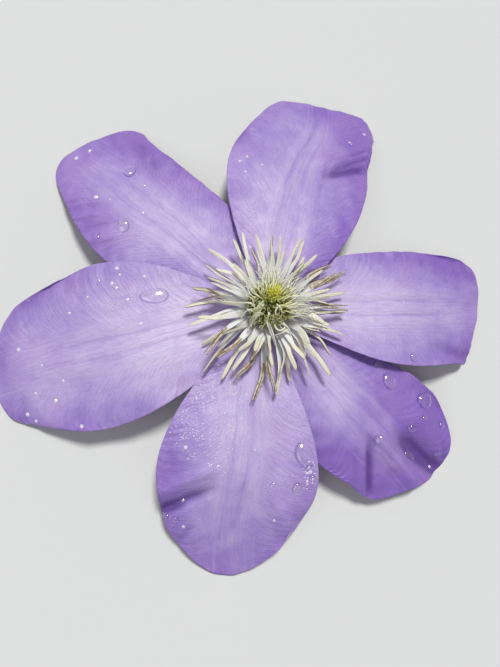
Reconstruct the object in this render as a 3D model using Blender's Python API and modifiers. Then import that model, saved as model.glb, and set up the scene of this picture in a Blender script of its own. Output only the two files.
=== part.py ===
"""Clematis flower: one picked bloom lying face up on its six sepals.

Blender 4.5, metres, +Z up, +Y towards the upper sepal. The surface that the flower lies on
is z = 0, and the origin is on it, under the middle of the flower's box.

A clematis has no true petals: the six coloured blades are sepals. Each one springs from the
side of the receptacle, the swollen end of the flower stalk. Above them stand the stamens,
and on top sits the head of carpels with its tuft of styles.
"""

from math import comb, cos, pi, radians, sin, tan
from typing import NamedTuple

import bmesh
import bpy
import numpy as np
from mathutils import Vector

MM = 0.001
OBJECT_NAME = "clematis_flower"

# Where the flower's own axis stands, so that its box is centred on the origin (mm).
FLOWER_X = 1.2
FLOWER_Y = -1.2

# The crown: the height of the lowest sepal layer over the surface, by distance from the axis (mm).
CROWN_HEIGHT = 12.0
CROWN_RISE = 0.12
CROWN_DROOP = 0.0035

# Sepals (mm).
SEPAL_THICKNESS = 0.45
SEPAL_LAYER_STEP = 0.9
SEPAL_ROOT = 3.6
SEPAL_CLAW_HALF_WIDTH = 3.0
SEPAL_ROWS = 14
SEPAL_COLUMNS = 10
WAVE_START = 42.0
WAVE_FULL = 62.0
SETTLE_START = 40.0
SETTLE_PASSES = 4

# Receptacle and flower stalk (mm). The outline lists height and radius, from the top down.
RECEPTACLE_RADIUS = 3.3
RECEPTACLE_TOP = 17.9
RECEPTACLE_OUTLINE = (
    (RECEPTACLE_TOP, 2.1), (17.2, RECEPTACLE_RADIUS), (11.6, RECEPTACLE_RADIUS), (10.4, 2.4),
)
STALK_RADIUS = 1.2
STALK_NECK_RADIUS = 1.8
STALK_LENGTH = 44.0
STALK_BEND = 7.5
STALK_BEND_STEPS = 6
STALK_HEADING = 72.0

# Stamens (mm).
STAMEN_GAP = 0.3
STAMEN_HALF_WIDTH = 0.75
STAMEN_HALF_THICKNESS = 0.28
STAMEN_POINTS = 7
STAMEN_FOOT_OFFSET = 0.25
STAMEN_FOOT_WIDTH = 0.5
STAMEN_TIP_START = 0.85
STAMEN_TIP_NARROWING = 0.35
TIER_BOTTOM = 14.9
TIER_STEP = 0.8
TIER_RISES = (20, 28, 38, 52)

# Carpel head and styles (mm).
HEAD_RADIUS = 4.8
HEAD_HALF_HEIGHT = 3.4
HEAD_MIDDLE = RECEPTACLE_TOP + STAMEN_GAP + HEAD_HALF_HEIGHT
STYLE_COUNT = 13
STYLE_RADIUS = 0.38
STYLE_TIP_RADIUS = 0.17
STYLE_POINTS = 6
STYLE_TURN = 137.5
STYLE_SWEEP = 20.0

# Foot, bend and end of a style: distance from the axis, and height over the head's middle (mm).
TUFT_STYLE = ((1.2, 2.0), (1.8, 5.0), (2.2, 8.0))
SPREADING_STYLE = ((2.6, 1.4), (4.6, 5.2), (6.3, 4.6))


class Sepal(NamedTuple):
    """One sepal: where it points, how it overlaps and its outline, in degrees and mm.

    left and right are the control half-widths along each side, from the claw to the tip.
    reach is the control distance from the axis to the tip's edge, from right to left.
    left_lift and right_lift raise that side over the crown, or sink it if negative.
    """

    name: str
    heading: float
    layer: int
    left: tuple
    right: tuple
    reach: tuple
    left_lift: float
    right_lift: float
    wave: float
    wave_count: float
    wave_phase: float


SEPALS = (
    Sepal("sepal_top", 76, 2, (8, 27, 22.5, 17), (13.5, 32, 16, 24),
          (73, 81, 62, 84, 61.5), 0.5, 0.4, 1.3, 2.6, 0.10),
    Sepal("sepal_upper_left", 138, 0, (15.5, 21.5, 22, 13), (18, 19, 12.5, 18),
          (65, 69, 74, 80.5, 67), -1.2, -0.8, 1.0, 2.2, 0.45),
    Sepal("sepal_left", 194, 1, (11, 24.5, 24, 15.5), (9, 29, 22.5, 19),
          (62, 78.5, 70, 80, 67.5), -0.5, 0.8, 1.2, 3.1, 0.70),
    Sepal("sepal_bottom", 261, 2, (3.5, 21, 27, 16.5), (10, 22.5, 25, 18),
          (59, 65.5, 78, 68.5, 60), 0.7, 0.3, 1.1, 2.8, 0.20),
    Sepal("sepal_lower_right", 315, 0, (5, 15, 28.5, 15), (14, 25, 17, 16),
          (56.5, 65.5, 62, 72, 64), -2.2, -1.0, 1.9, 3.4, 0.60),
    Sepal("sepal_right", 4, 1, (21, 14.5, 19, 18), (5, 24, 15.5, 17),
          (63, 66.5, 68.5, 75.5, 65.5), -0.5, 1.5, 1.1, 2.4, 0.85),
)

# Stamens of the two lower tiers: heading of the tip in degrees, reach and tip height in mm.
LOW_STAMENS = (
    (12, 22.0, 18.0), (24, 24.0, 17.5), (38, 21.5, 18.5), (58, 20.0, 20.0), (80, 19.0, 20.5),
    (101, 20.0, 20.0), (122, 20.5, 19.0), (136, 22.5, 18.0), (150, 20.5, 18.0), (166, 21.0, 18.5),
    (183, 22.5, 18.0), (196, 22.0, 18.0), (209, 20.5, 17.5), (226, 25.0, 17.0), (237, 23.0, 17.5),
    (251, 21.0, 18.0), (263, 25.0, 17.5), (275, 23.5, 18.0), (289, 20.5, 18.0), (303, 22.0, 17.5),
    (315, 24.5, 17.0), (328, 21.0, 18.0), (341, 22.0, 17.5), (354, 21.0, 18.5),
)

# Stamens of the third tier, over the gaps of the lower ones.
MIDDLE_STAMENS = (
    (1, 21.5, 20.5), (24, 19.0, 21.5), (47, 19.0, 21.0), (68, 20.5, 22.0), (89, 18.5, 23.0),
    (112, 21.0, 21.0), (143, 17.0, 21.5), (170, 17.5, 21.5), (216, 21.5, 20.0), (243, 20.0, 20.5),
    (267, 22.5, 20.0), (284, 18.5, 21.0), (314, 18.0, 20.5), (340, 19.0, 21.0),
)

# The innermost, steepest stamens follow a rule: even headings, swung a little from one to the next.
TOP_STAMEN_COUNT = 14
TOP_STAMEN_START = 8.0
TOP_STAMEN_REACH = 15.0
TOP_STAMEN_HEIGHT = 24.0
TOP_SWING_STEP = 2.4
TOP_HEADING_SWING = 4.0
TOP_REACH_SWING = 1.8
TOP_HEIGHT_SWING = -1.2


# ---------------------------------------------------------------- collections and materials

def clear_scene():
    for old in list(bpy.data.objects):
        bpy.data.objects.remove(old, do_unlink=True)


def make_collection(name):
    collection = bpy.data.collections.new(name)
    bpy.context.scene.collection.children.link(collection)
    return collection


def make_material(name, color, roughness):
    material = bpy.data.materials.new(name)
    material.use_nodes = True
    shader = material.node_tree.nodes["Principled BSDF"]
    shader.inputs["Base Color"].default_value = (*color, 1.0)
    shader.inputs["Roughness"].default_value = roughness
    shader.inputs["Metallic"].default_value = 0.0
    material.diffuse_color = (*color, 1.0)
    return material


def add_mesh_object(name, mesh, collection, parent, material):
    made = bpy.data.objects.new(name, mesh)
    made.data.materials.append(material)
    made.parent = parent
    collection.objects.link(made)
    return made


# ---------------------------------------------------------------- sepals

def bezier(controls, t):
    """The Bezier curve through one-dimensional control values, at the parameters t."""
    degree = len(controls) - 1
    return sum(comb(degree, k) * t**k * (1 - t)**(degree - k) * c for k, c in enumerate(controls))


def smooth_step(low, high, x):
    t = np.clip((x - low) / (high - low), 0.0, 1.0)
    return t * t * (3 - 2 * t)


def crown_height(radius):
    return CROWN_HEIGHT + CROWN_RISE * radius - CROWN_DROOP * radius**2


def sepal_points(sepal, u, v):
    """Points of a sepal's middle surface, in mm, with the flower's axis at x = 0 and the tip along +X.

    u runs from the root, 0, to the tip, 1, and v from the right edge, -1, to the left edge, 1.
    """
    reach = bezier(sepal.reach, (v + 1) / 2)
    along = SEPAL_ROOT + u * (reach - SEPAL_ROOT)
    t = along / reach
    left = bezier((SEPAL_CLAW_HALF_WIDTH, *sepal.left), t)
    right = bezier((SEPAL_CLAW_HALF_WIDTH, *sepal.right), t)
    across = v * np.where(v > 0, left, right)
    radius = np.hypot(along, across)
    height = crown_height(radius) + sepal.layer * SEPAL_LAYER_STEP
    lift = np.where(v > 0, sepal.left_lift, sepal.right_lift)
    height += lift * v**2 * np.sin(pi * np.clip(t, 0.0, 1.0))
    ripple = np.sin(2 * pi * (sepal.wave_count * t + sepal.wave_phase * np.sign(v)))
    height += sepal.wave * ripple * np.abs(v)**3 * smooth_step(WAVE_START, WAVE_FULL, radius)
    return along, across, settle(radius, height)


def settle(radius, height):
    """Bend the outer part of a sepal until its lowest point lies on the surface."""
    rest = SEPAL_THICKNESS / 2
    bend = smooth_step(SETTLE_START, radius.max(), radius)
    for _ in range(SETTLE_PASSES):
        lowest = height.argmin()
        height = height - (height.flat[lowest] - rest) / bend.flat[lowest] * bend
    return height


def build_sepal(sepal, collection, parent, material):
    mesh = bpy.data.meshes.new(sepal.name)
    bm = bmesh.new()
    bmesh.ops.create_grid(bm, x_segments=SEPAL_ROWS, y_segments=SEPAL_COLUMNS, size=1.0)
    u = np.array([(vertex.co.x + 1) / 2 for vertex in bm.verts])
    v = np.array([vertex.co.y for vertex in bm.verts])
    places = np.stack(sepal_points(sepal, u, v), axis=-1) * MM
    for vertex, place in zip(bm.verts, places):
        vertex.co = place
    bm.to_mesh(mesh)
    bm.free()
    mesh.shade_smooth()
    made = add_mesh_object(sepal.name, mesh, collection, parent, material)
    made.rotation_euler.z = radians(sepal.heading)
    wall = made.modifiers.new("blade thickness", "SOLIDIFY")
    wall.thickness = SEPAL_THICKNESS * MM
    wall.offset = 0.0
    return made


# ---------------------------------------------------------------- curves

def add_curve_object(name, points, radii, depth, collection, parent, material):
    """A round rod on a poly spline: points and depth in mm, radii as factors of the depth."""
    curve = bpy.data.curves.new(name, "CURVE")
    curve.dimensions = "3D"
    curve.bevel_depth = depth * MM
    curve.bevel_resolution = 1
    curve.use_fill_caps = True
    curve.twist_mode = "Z_UP"
    spline = curve.splines.new("POLY")
    spline.points.add(len(points) - 1)
    for target, place, radius in zip(spline.points, points, radii):
        target.co = (*(Vector(place) * MM), 1.0)
        target.radius = radius
    made = bpy.data.objects.new(name, curve)
    made.data.materials.append(material)
    made.parent = parent
    collection.objects.link(made)
    return made


def polar(heading, radius, height):
    """A point from its heading in degrees, its distance from the axis and its height."""
    return Vector((radius * cos(radians(heading)), radius * sin(radians(heading)), height))


def arc_point(start, middle, end, t):
    """The quadratic Bezier curve from start to end that leans towards middle."""
    return (1 - t)**2 * start + 2 * t * (1 - t) * middle + t**2 * end


# ---------------------------------------------------------------- stalk

def build_stalk(collection, parent, material):
    """The flower stalk: down from the receptacle, round a bend and along the surface to its cut end."""
    points = [(0.0, height, radius) for height, radius in RECEPTACLE_OUTLINE]
    bend_top = STALK_RADIUS + STALK_BEND
    for step in range(STALK_BEND_STEPS + 1):
        fraction = step / STALK_BEND_STEPS
        angle = fraction * pi / 2
        radius = STALK_NECK_RADIUS + fraction * (STALK_RADIUS - STALK_NECK_RADIUS)
        points.append((STALK_BEND * (1 - cos(angle)), bend_top - STALK_BEND * sin(angle), radius))
    for fraction in (0.5, 1.0):
        points.append((STALK_BEND + fraction * (STALK_LENGTH - STALK_BEND), STALK_RADIUS, STALK_RADIUS))
    path = [polar(STALK_HEADING, out, height) for out, height, _ in points]
    radii = [radius / STALK_RADIUS for _, _, radius in points]
    stalk = add_curve_object("stalk_receptacle", path, radii, STALK_RADIUS, collection, parent, material)
    stalk.data.bevel_resolution = 3
    return stalk


# ---------------------------------------------------------------- stamens

def make_stamen_section(guides):
    """The flat six-sided section that every stamen's curve carries."""
    curve = bpy.data.curves.new("stamen_section", "CURVE")
    curve.dimensions = "2D"
    spline = curve.splines.new("POLY")
    spline.points.add(5)
    for index, target in enumerate(spline.points):
        angle = -2 * pi * index / 6
        target.co = (cos(angle) * STAMEN_HALF_WIDTH * MM, sin(angle) * STAMEN_HALF_THICKNESS * MM, 0.0, 1.0)
    spline.use_cyclic_u = True
    section = bpy.data.objects.new("stamen_section", curve)
    section.hide_render = True
    section.display_type = "WIRE"
    guides.objects.link(section)
    return section


def stamen_width(t):
    """How wide a stamen is at t of its length: a slim foot, a broad anther and a narrow tip."""
    swell = (1 - STAMEN_FOOT_WIDTH) * sin(pi * t / 1.2)**0.8
    past = max(t - STAMEN_TIP_START, 0.0) / (1 - STAMEN_TIP_START)
    return STAMEN_FOOT_WIDTH + swell - STAMEN_TIP_NARROWING * past


def build_stamen(name, tier, foot_heading, tip, section, collection, parent, material):
    heading, reach, height = tip
    foot_radius = RECEPTACLE_RADIUS + STAMEN_GAP + STAMEN_FOOT_OFFSET
    foot = polar(foot_heading, foot_radius, TIER_BOTTOM + tier * TIER_STEP)
    middle_reach = 0.5 * reach
    middle_height = foot.z + (middle_reach - foot_radius) * tan(radians(TIER_RISES[tier]))
    middle = polar(foot_heading + 0.35 * (heading - foot_heading), middle_reach, middle_height)
    end = polar(heading, reach, height)
    steps = [index / (STAMEN_POINTS - 1) for index in range(STAMEN_POINTS)]
    path = [arc_point(foot, middle, end, t) for t in steps]
    widths = [stamen_width(t) for t in steps]
    stamen = add_curve_object(name, path, widths, 0.0, collection, parent, material)
    stamen.data.bevel_mode = "OBJECT"
    stamen.data.bevel_object = section
    return stamen


def even_headings(tips):
    """Feet evenly spaced round the receptacle, each as near its tip's heading as that allows."""
    step = 360 / len(tips)
    offset = sum(tip[0] - index * step for index, tip in enumerate(tips)) / len(tips)
    return [offset + index * step for index in range(len(tips))]


def top_tips():
    """Heading, reach and height of the innermost stamens' tips."""
    tips = []
    for index in range(TOP_STAMEN_COUNT):
        swing = sin(TOP_SWING_STEP * index)
        heading = TOP_STAMEN_START + 360 / TOP_STAMEN_COUNT * index + TOP_HEADING_SWING * swing
        reach = TOP_STAMEN_REACH + TOP_REACH_SWING * swing
        tips.append((heading, reach, TOP_STAMEN_HEIGHT + TOP_HEIGHT_SWING * swing))
    return tips


def build_stamens(collection, guides, parent, material):
    section = make_stamen_section(guides)
    tiers = (LOW_STAMENS[0::2], LOW_STAMENS[1::2], MIDDLE_STAMENS, top_tips())
    number = 0
    for tier, tips in enumerate(tiers):
        for foot_heading, tip in zip(even_headings(tips), tips):
            number += 1
            name = f"stamen_{number:02d}"
            build_stamen(name, tier, foot_heading, tip, section, collection, parent, material)


# ---------------------------------------------------------------- carpel head and styles

def mesh_from_curve(curve_object):
    """A closed mesh object in place of a curve, with the curve's loose caps welded."""
    bpy.context.view_layer.update()
    graph = bpy.context.evaluated_depsgraph_get()
    mesh = bpy.data.meshes.new_from_object(curve_object.evaluated_get(graph))
    bm = bmesh.new()
    bm.from_mesh(mesh)
    bmesh.ops.remove_doubles(bm, verts=bm.verts, dist=0.01 * MM)
    bm.to_mesh(mesh)
    bm.free()
    name = curve_object.name
    place = curve_object.matrix_world.copy()
    bpy.data.objects.remove(curve_object, do_unlink=True)
    made = bpy.data.objects.new(name, mesh)
    made.matrix_world = place
    return made


def style_path(index):
    """A style springs from the head and arches up and out; every third one stands up in the tuft."""
    heading = STYLE_TURN * index
    shape = TUFT_STYLE if index % 3 == 0 else SPREADING_STYLE
    turns = (0.0, 0.0, STYLE_SWEEP)
    foot, bend, end = [polar(heading + turn, out, HEAD_MIDDLE + up) for turn, (out, up) in zip(turns, shape)]
    return [arc_point(foot, bend, end, step / (STYLE_POINTS - 1)) for step in range(STYLE_POINTS)]


def build_carpel_head(collection, guides, parent, material):
    mesh = bpy.data.meshes.new("carpel_head")
    bm = bmesh.new()
    bmesh.ops.create_uvsphere(bm, u_segments=18, v_segments=10, radius=1.0)
    size = (HEAD_RADIUS * MM, HEAD_RADIUS * MM, HEAD_HALF_HEIGHT * MM)
    bmesh.ops.scale(bm, vec=size, verts=bm.verts)
    bmesh.ops.translate(bm, vec=(0.0, 0.0, HEAD_MIDDLE * MM), verts=bm.verts)
    bm.to_mesh(mesh)
    bm.free()
    mesh.shade_smooth()
    head = add_mesh_object("carpel_head", mesh, collection, parent, material)
    radii = [float(radius) for radius in np.linspace(1.0, STYLE_TIP_RADIUS / STYLE_RADIUS, STYLE_POINTS)]
    for index in range(STYLE_COUNT):
        rod = add_curve_object(f"style_{index:02d}", style_path(index), radii, STYLE_RADIUS,
                               guides, None, material)
        style = mesh_from_curve(rod)
        style.hide_render = True
        style.display_type = "WIRE"
        style.parent = parent
        guides.objects.link(style)
        join = head.modifiers.new(f"join style {index:02d}", "BOOLEAN")
        join.operation = "UNION"
        join.object = style
    return head


# ---------------------------------------------------------------- the flower

def build():
    clear_scene()
    parts = make_collection(OBJECT_NAME)
    guides = make_collection("guides")
    sepal_material = make_material("sepal", (0.45, 0.34, 0.68), 0.5)
    stamen_material = make_material("stamen", (0.82, 0.82, 0.70), 0.55)
    carpel_material = make_material("carpel", (0.48, 0.50, 0.16), 0.6)
    stalk_material = make_material("stalk", (0.22, 0.30, 0.09), 0.6)

    flower = bpy.data.objects.new("flower_axis", None)
    flower.location = (FLOWER_X * MM, FLOWER_Y * MM, 0.0)
    guides.objects.link(flower)

    for sepal in SEPALS:
        build_sepal(sepal, parts, flower, sepal_material)
    build_stalk(parts, flower, stalk_material)
    build_stamens(parts, guides, flower, stamen_material)
    build_carpel_head(parts, guides, flower, carpel_material)
    bpy.context.view_layer.update()


build()
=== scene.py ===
# %% [markdown]
# # A clematis flower, sepal by sepal
#
# This notebook dresses a plain model of one picked clematis bloom. The model comes in as a
# fixed frame: six sepals (a clematis has no true petals), a flower stalk, a head of carpels
# and a ring of stamens, all in metres, with +Z up. Every piece that is made here lies where
# its plain stand-in lies, and then stands for it.
#
# The shapes are surfaces worked out with numpy. A surface is a function of two parameters:
# a grid of parameter values goes in, and a grid of points comes out.

# %% Load the frame
from math import comb

import bpy
import numpy as np
from mathutils import Matrix, Vector


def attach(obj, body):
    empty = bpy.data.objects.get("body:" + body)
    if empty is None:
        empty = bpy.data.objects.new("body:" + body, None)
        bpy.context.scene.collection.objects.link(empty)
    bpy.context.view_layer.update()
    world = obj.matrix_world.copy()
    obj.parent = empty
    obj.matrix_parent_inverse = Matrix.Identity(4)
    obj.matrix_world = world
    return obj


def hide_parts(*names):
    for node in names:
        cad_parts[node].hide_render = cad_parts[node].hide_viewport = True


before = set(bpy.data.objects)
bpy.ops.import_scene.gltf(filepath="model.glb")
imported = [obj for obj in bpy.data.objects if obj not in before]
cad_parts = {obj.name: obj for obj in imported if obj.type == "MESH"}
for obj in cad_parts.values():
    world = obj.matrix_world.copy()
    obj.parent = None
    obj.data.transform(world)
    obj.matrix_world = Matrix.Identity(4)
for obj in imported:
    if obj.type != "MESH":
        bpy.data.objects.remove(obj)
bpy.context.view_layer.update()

MM = 0.001

# %% [markdown]
# ## From a grid of points to a mesh
#
# A mesh needs corner points and faces. On a grid the faces follow from the grid itself: each
# cell is one four-sided face. Working them out as whole arrays is quick, and it never leaves
# a gap or a doubled point.

# %% Faces of a grid


def grid_faces(rows, columns):
    """Corner numbers of every cell of a grid whose points are numbered row by row."""
    number = np.arange(rows * columns).reshape(rows, columns)
    corners = [number[:-1, :-1], number[1:, :-1], number[1:, 1:], number[:-1, 1:]]
    return np.stack(corners, -1).reshape(-1, 4)


def rim_numbers(rows, columns):
    """The numbers of a grid's outermost points, once round."""
    number = np.arange(rows * columns).reshape(rows, columns)
    return np.concatenate([number[0, :-1], number[:-1, -1], number[-1, :0:-1], number[:0:-1, 0]])


# %% Unit vectors and smooth ramps
UP = np.array([0.0, 0.0, 1.0])


def unit(vectors):
    """Each vector divided by its own length."""
    return vectors / np.maximum(np.linalg.norm(vectors, axis=-1, keepdims=True), 1e-12)


def ramp(low, high, x):
    """0 below low, 1 above high, and a smooth S-curve between them: 3t^2 - 2t^3."""
    t = np.clip((x - low) / (high - low), 0.0, 1.0)
    return t * t * (3 - 2 * t)


def bump(middle, width, x):
    """A bell curve: exp(-((x - middle) / width)^2)."""
    return np.exp(-((x - middle) / width) ** 2)


# %% Make an object from arrays


def add_piece(name, points, faces, finish, values=None):
    """A smooth-shaded mesh object from points (mm), faces, a finish and named values, one for each point."""
    mesh = bpy.data.meshes.new(name)
    mesh.from_pydata((points * MM).tolist(), [], faces.tolist() if isinstance(faces, np.ndarray) else faces)
    mesh.validate()
    mesh.shade_smooth()
    mesh.materials.append(finish)
    for label, numbers in (values or {}).items():
        attribute = mesh.attributes.new(label, "FLOAT", "POINT")
        attribute.data.foreach_set("value", np.asarray(numbers, dtype=np.float32).ravel())
    made = bpy.data.objects.new(name, mesh)
    bpy.context.scene.collection.objects.link(made)
    return made


def place(piece, slot, *nodes):
    """Ties a piece to the flower's body and hides the plain nodes that it stands for. The slot is not used.
    """
    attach(piece, "root")
    if nodes:
        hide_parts(*nodes)
    print(piece.name, "faces:", len(piece.data.polygons))
    return piece


# %% [markdown]
# ## A closed shell from one sheet
#
# A sepal is a thin blade. It is worked out as one curved sheet without thickness. The shell
# then moves one copy of the sheet up along its normals and another copy down, each by its own
# amount, and closes the rim between them with a strip of faces. Because the two amounts
# differ, the underside can carry ribs that the upper side does not show.

# %% Shell with a thickness that varies


def sheet_normals(points):
    """The normal of a grid of points: the cross product of its two tangents."""
    along, across = np.gradient(points, axis=(0, 1))
    return unit(np.cross(along, across))


def shell(points, above, below):
    """Points and faces of the closed shell round a sheet: the sheet moved up by above and down by below."""
    rows, columns = points.shape[:2]
    normals = sheet_normals(points)
    upper_sheet, lower_sheet = points + normals * above[..., None], points - normals * below[..., None]
    corners = np.concatenate([upper_sheet.reshape(-1, 3), lower_sheet.reshape(-1, 3)])
    upper = grid_faces(rows, columns)
    lower = upper[:, ::-1] + rows * columns
    rim = rim_numbers(rows, columns)
    after = np.roll(rim, -1)
    wall = np.stack([rim, after, after + rows * columns, rim + rows * columns], -1)
    return corners, np.concatenate([upper, lower, wall])


# %% [markdown]
# ## Soft irregular ripples
#
# Grown things are never even. A sum of a few sine waves that run in different directions
# gives a gentle, irregular ripple at very little cost. The seed fixes the directions, so the
# flower comes out the same each time.

# %% Ripple field


def ripples(x, y, length, seed, waves=9):
    """A field of irregular ripples between about -1 and 1: sines in random directions, added together."""
    draw = np.random.default_rng(seed)
    turn = draw.uniform(0, 2 * np.pi, waves)
    pitch = 2 * np.pi / (length * draw.uniform(0.6, 1.6, waves))
    shift = draw.uniform(0, 2 * np.pi, waves)
    phase = np.multiply.outer(x, np.cos(turn) * pitch) + np.multiply.outer(y, np.sin(turn) * pitch)
    return np.sin(phase + shift).sum(-1) / np.sqrt(waves)


# %% [markdown]
# ## The sepals
#
# Six sepals spring from the receptacle, each overlapping its neighbours in a fixed order.
# Each is described by where it points, its layer, the control values of its two side edges
# and of its tip's edge, and how far each side lifts or sinks. A Bezier curve turns the few
# control values into a smooth edge.

# %% Sizes that all sepals share (mm)
FLOWER_AXIS = np.array([1.2, -1.2, 0.0])
CROWN_HEIGHT = 12.0
CROWN_RISE = 0.12
CROWN_DROOP = 0.0035
BLADE_THICKNESS = 0.36
RIB_HEIGHT = 0.34
LAYER_STEP = 0.9
ROOT_DISTANCE = 3.6
CLAW_HALF_WIDTH = 3.0
BLADE_ROWS = 190
BLADE_COLUMNS = 140

# %% [markdown]
# ### What is particular to each sepal
#
# Each entry starts with the direction, the layer, and the control values of the side edges
# and of the tip's edge. Then come the rounding of the two corners of the tip, the lift and
# the wave of the sides, where the middle bars start and end across the blade, how deep the
# colour is (all over, left side, right side, outer half), and the folds. How deep the colour
# is stands partly for the sepal's own tone and partly for painted shade, lighter or darker as
# the light falls on each sepal and side. A fold is a line from one point to another (distance
# along, distance across), its half width and its height; a negative height makes a valley.

# %% The six sepals
SEPALS = {
    "sepal_top": dict(
        heading=76, layer=2, left=(8, 27, 22.5, 17), right=(13.5, 30.7, 15.7, 23.2),
        reach=(73.2, 84.6, 62, 84, 61.5), corners=(5, 7.7), lift=(0.5, 0.4),
        wave=1.3, waves=2.6, phase=0.10, seed=11, bars=(2.0, -3.0), tone_and_shade=(0.30, -0.28, 0.24, 0.04), folds=(
            (61, -20, 50, -7, 3.0, 1.7), (54, -20.5, 45, -8, 1.4, -1.6), (58, -2, 37, 1, 0.6, -0.30),
            (61, -21, 54, -13, 0.6, -0.45), (58, -21, 50, -12, 0.6, -0.45), (68, -3, 49, 0.5, 0.8, -0.55),
            (53, 1, 36, 3.5, 0.6, -0.26), (56, -8, 36, -7, 0.7, -0.30), (66, 6, 50, 9, 2.2, 0.5))),
    "sepal_upper_left": dict(
        heading=138, layer=0, left=(15.5, 21.5, 22, 13), right=(18, 19, 12.5, 18),
        reach=(67, 71.5, 74, 80.5, 67), corners=(3, 5), lift=(-1.2, -0.8),
        wave=1.0, waves=2.2, phase=0.45, seed=12, bars=(0.0, 0.5), tone_and_shade=(0.28, -0.04, 0.06, 0.0), folds=(
            (65, -14, 48, -8, 2.4, -0.7), (64, 15, 58, 8, 0.9, 0.50), (61, 17, 55, 9, 0.9, -0.50),
            (58, 18, 52, 10, 0.9, 0.50), (54, 19, 48, 11, 1.0, -0.45), (50, 20, 44, 12, 1.0, 0.40))),
    "sepal_left": dict(
        heading=194, layer=1, left=(11, 24.5, 24, 15.5), right=(9, 29, 22.5, 19),
        reach=(62, 78.5, 70, 80, 67.5), corners=(3, 3), lift=(-0.5, 0.8),
        wave=1.2, waves=3.1, phase=0.70, seed=13, bars=(0.5, 0.5), tone_and_shade=(-0.08, -0.10, -0.06, 0.20), folds=(
            (40, 3, 66, 1, 2.8, 0.35), (30, -6, 58, -5, 3.2, 0.30), (28, 16, 36, 21, 1.6, 0.4))),
    "sepal_bottom": dict(
        heading=261, layer=2, left=(3.5, 21, 27, 16.5), right=(10, 22.5, 25, 18),
        reach=(59, 66, 79, 69.5, 60.5), corners=(3, 3), lift=(0.7, 0.3),
        wave=1.1, waves=2.8, phase=0.20, seed=14, bars=(-3.6, 2.6), tone_and_shade=(0.15, -0.40, -0.18, 0.18), folds=(
            (52, -20.5, 44, -7.5, 1.7, 1.2), (56.5, -20, 49, -7, 1.5, -1.7), (64, -12.5, 59, -9, 1.2, -0.7),
            (57.5, -20.5, 54, -13, 1.1, -1.1), (50, 8, 60, 14, 2.0, -0.4), (50, 12, 57, 18, 1.6, 0.35))),
    "sepal_lower_right": dict(
        heading=315, layer=0, left=(5, 15, 19, 21.2), right=(14, 25, 17, 16),
        reach=(56.5, 65.5, 62, 81.8, 55.2), corners=(5.6, 3), lift=(-1.3, -1.0),
        wave=0.8, waves=3.4, phase=0.60, seed=15, bars=(-1.0, -1.0), tone_and_shade=(0.27, 0.08, 0.04, 0.46), folds=(
            (44, -1.6, 66, -2.6, 2.3, 1.5), (48, 11, 66, 12, 5.0, 1.5), (52, 3.6, 71, 7.6, 3.0, -2.8),
            (62, 13, 69, 10, 1.0, -0.7), (46, -4.5, 57, -14, 1.0, -1.8), (49, -2.4, 59, -10, 1.8, 0.6),
            (42, -8, 49, -15, 1.4, 0.7), (26, 5.6, 52, 6, 1.2, -0.3))),
    "sepal_right": dict(
        heading=4, layer=1, left=(21, 14.5, 19, 18), right=(5, 24, 15.5, 17),
        reach=(63, 67.5, 70, 78.5, 68.5), corners=(7, 1.2), lift=(-0.5, 1.5),
        wave=1.1, waves=2.4, phase=0.85, seed=16, bars=(0.0, 0.0), tone_and_shade=(-0.02, 0.18, 0.02, 0.21), folds=(
            (50, -11, 64, -15, 2.0, -0.8), (44, -18, 58, -19, 2.6, 0.6), (52, 6, 68, 4, 3.0, 0.5))),
}

# %% Sepal outline


def bezier(controls, t):
    """The Bezier curve of the control values at t: each value weighted by its Bernstein polynomial."""
    degree = len(controls) - 1
    return sum(comb(degree, k) * t**k * (1 - t)**(degree - k) * c for k, c in enumerate(controls))


def blade_plan(sepal, u, v):
    """The flat plan of a blade, tip along +X: columns fan out to the reach, rows widen to the side edges.

    Towards the tip the two corners are rounded: a quarter circle is taken off their length, and
    their sides are drawn in a little.
    """
    reach = bezier(sepal["reach"], (v + 1) / 2)
    along = ROOT_DISTANCE + u * (reach - ROOT_DISTANCE)
    t = along / reach
    left = bezier((CLAW_HALF_WIDTH, *sepal["left"]), t)
    right = bezier((CLAW_HALF_WIDTH, *sepal["right"]), t)
    half_width = np.where(v > 0, left, right)
    fillet = np.where(v > 0, *sepal["corners"])
    into_corner = np.clip(1 - (1 - np.abs(v)) * half_width / fillet, 0, 0.985)
    along = along - fillet * (1 - np.sqrt(1 - into_corner**2)) * ramp(0.55, 1.0, u)
    draw_in = 0.14 * fillet * ramp(0.78, 1.0, u) * np.abs(v) ** 8
    return along, v * (half_width - draw_in), t


# %% [markdown]
# ## The relief of a blade
#
# Three broad, low bars run up the middle of a clematis sepal, with narrow grooves between
# them. Fine veins leave the bars at a slant and turn square to the margins, and the tissue
# between them puckers a little. The relief is added to the height of the sheet, and the same
# values go to the material as attributes, so that the colour follows the shape.

# %% Widths, heights and lengths of the relief (mm)
BAR_WIDTH, GROOVE_WIDTH, RIB_WIDTH = 1.75, 0.42, 0.55
BAR_HEIGHT, GROOVE_DEPTH = 0.20, 0.15
STREAK_HEIGHT, SWELL_HEIGHT, PUCKER_HEIGHT = 0.035, 0.30, 0.12
SWELL_LENGTH, PUCKER_LENGTH = 24.0, 6.0
SIDE_VEINS = 31

# %% Bars, veins and puckers


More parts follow.
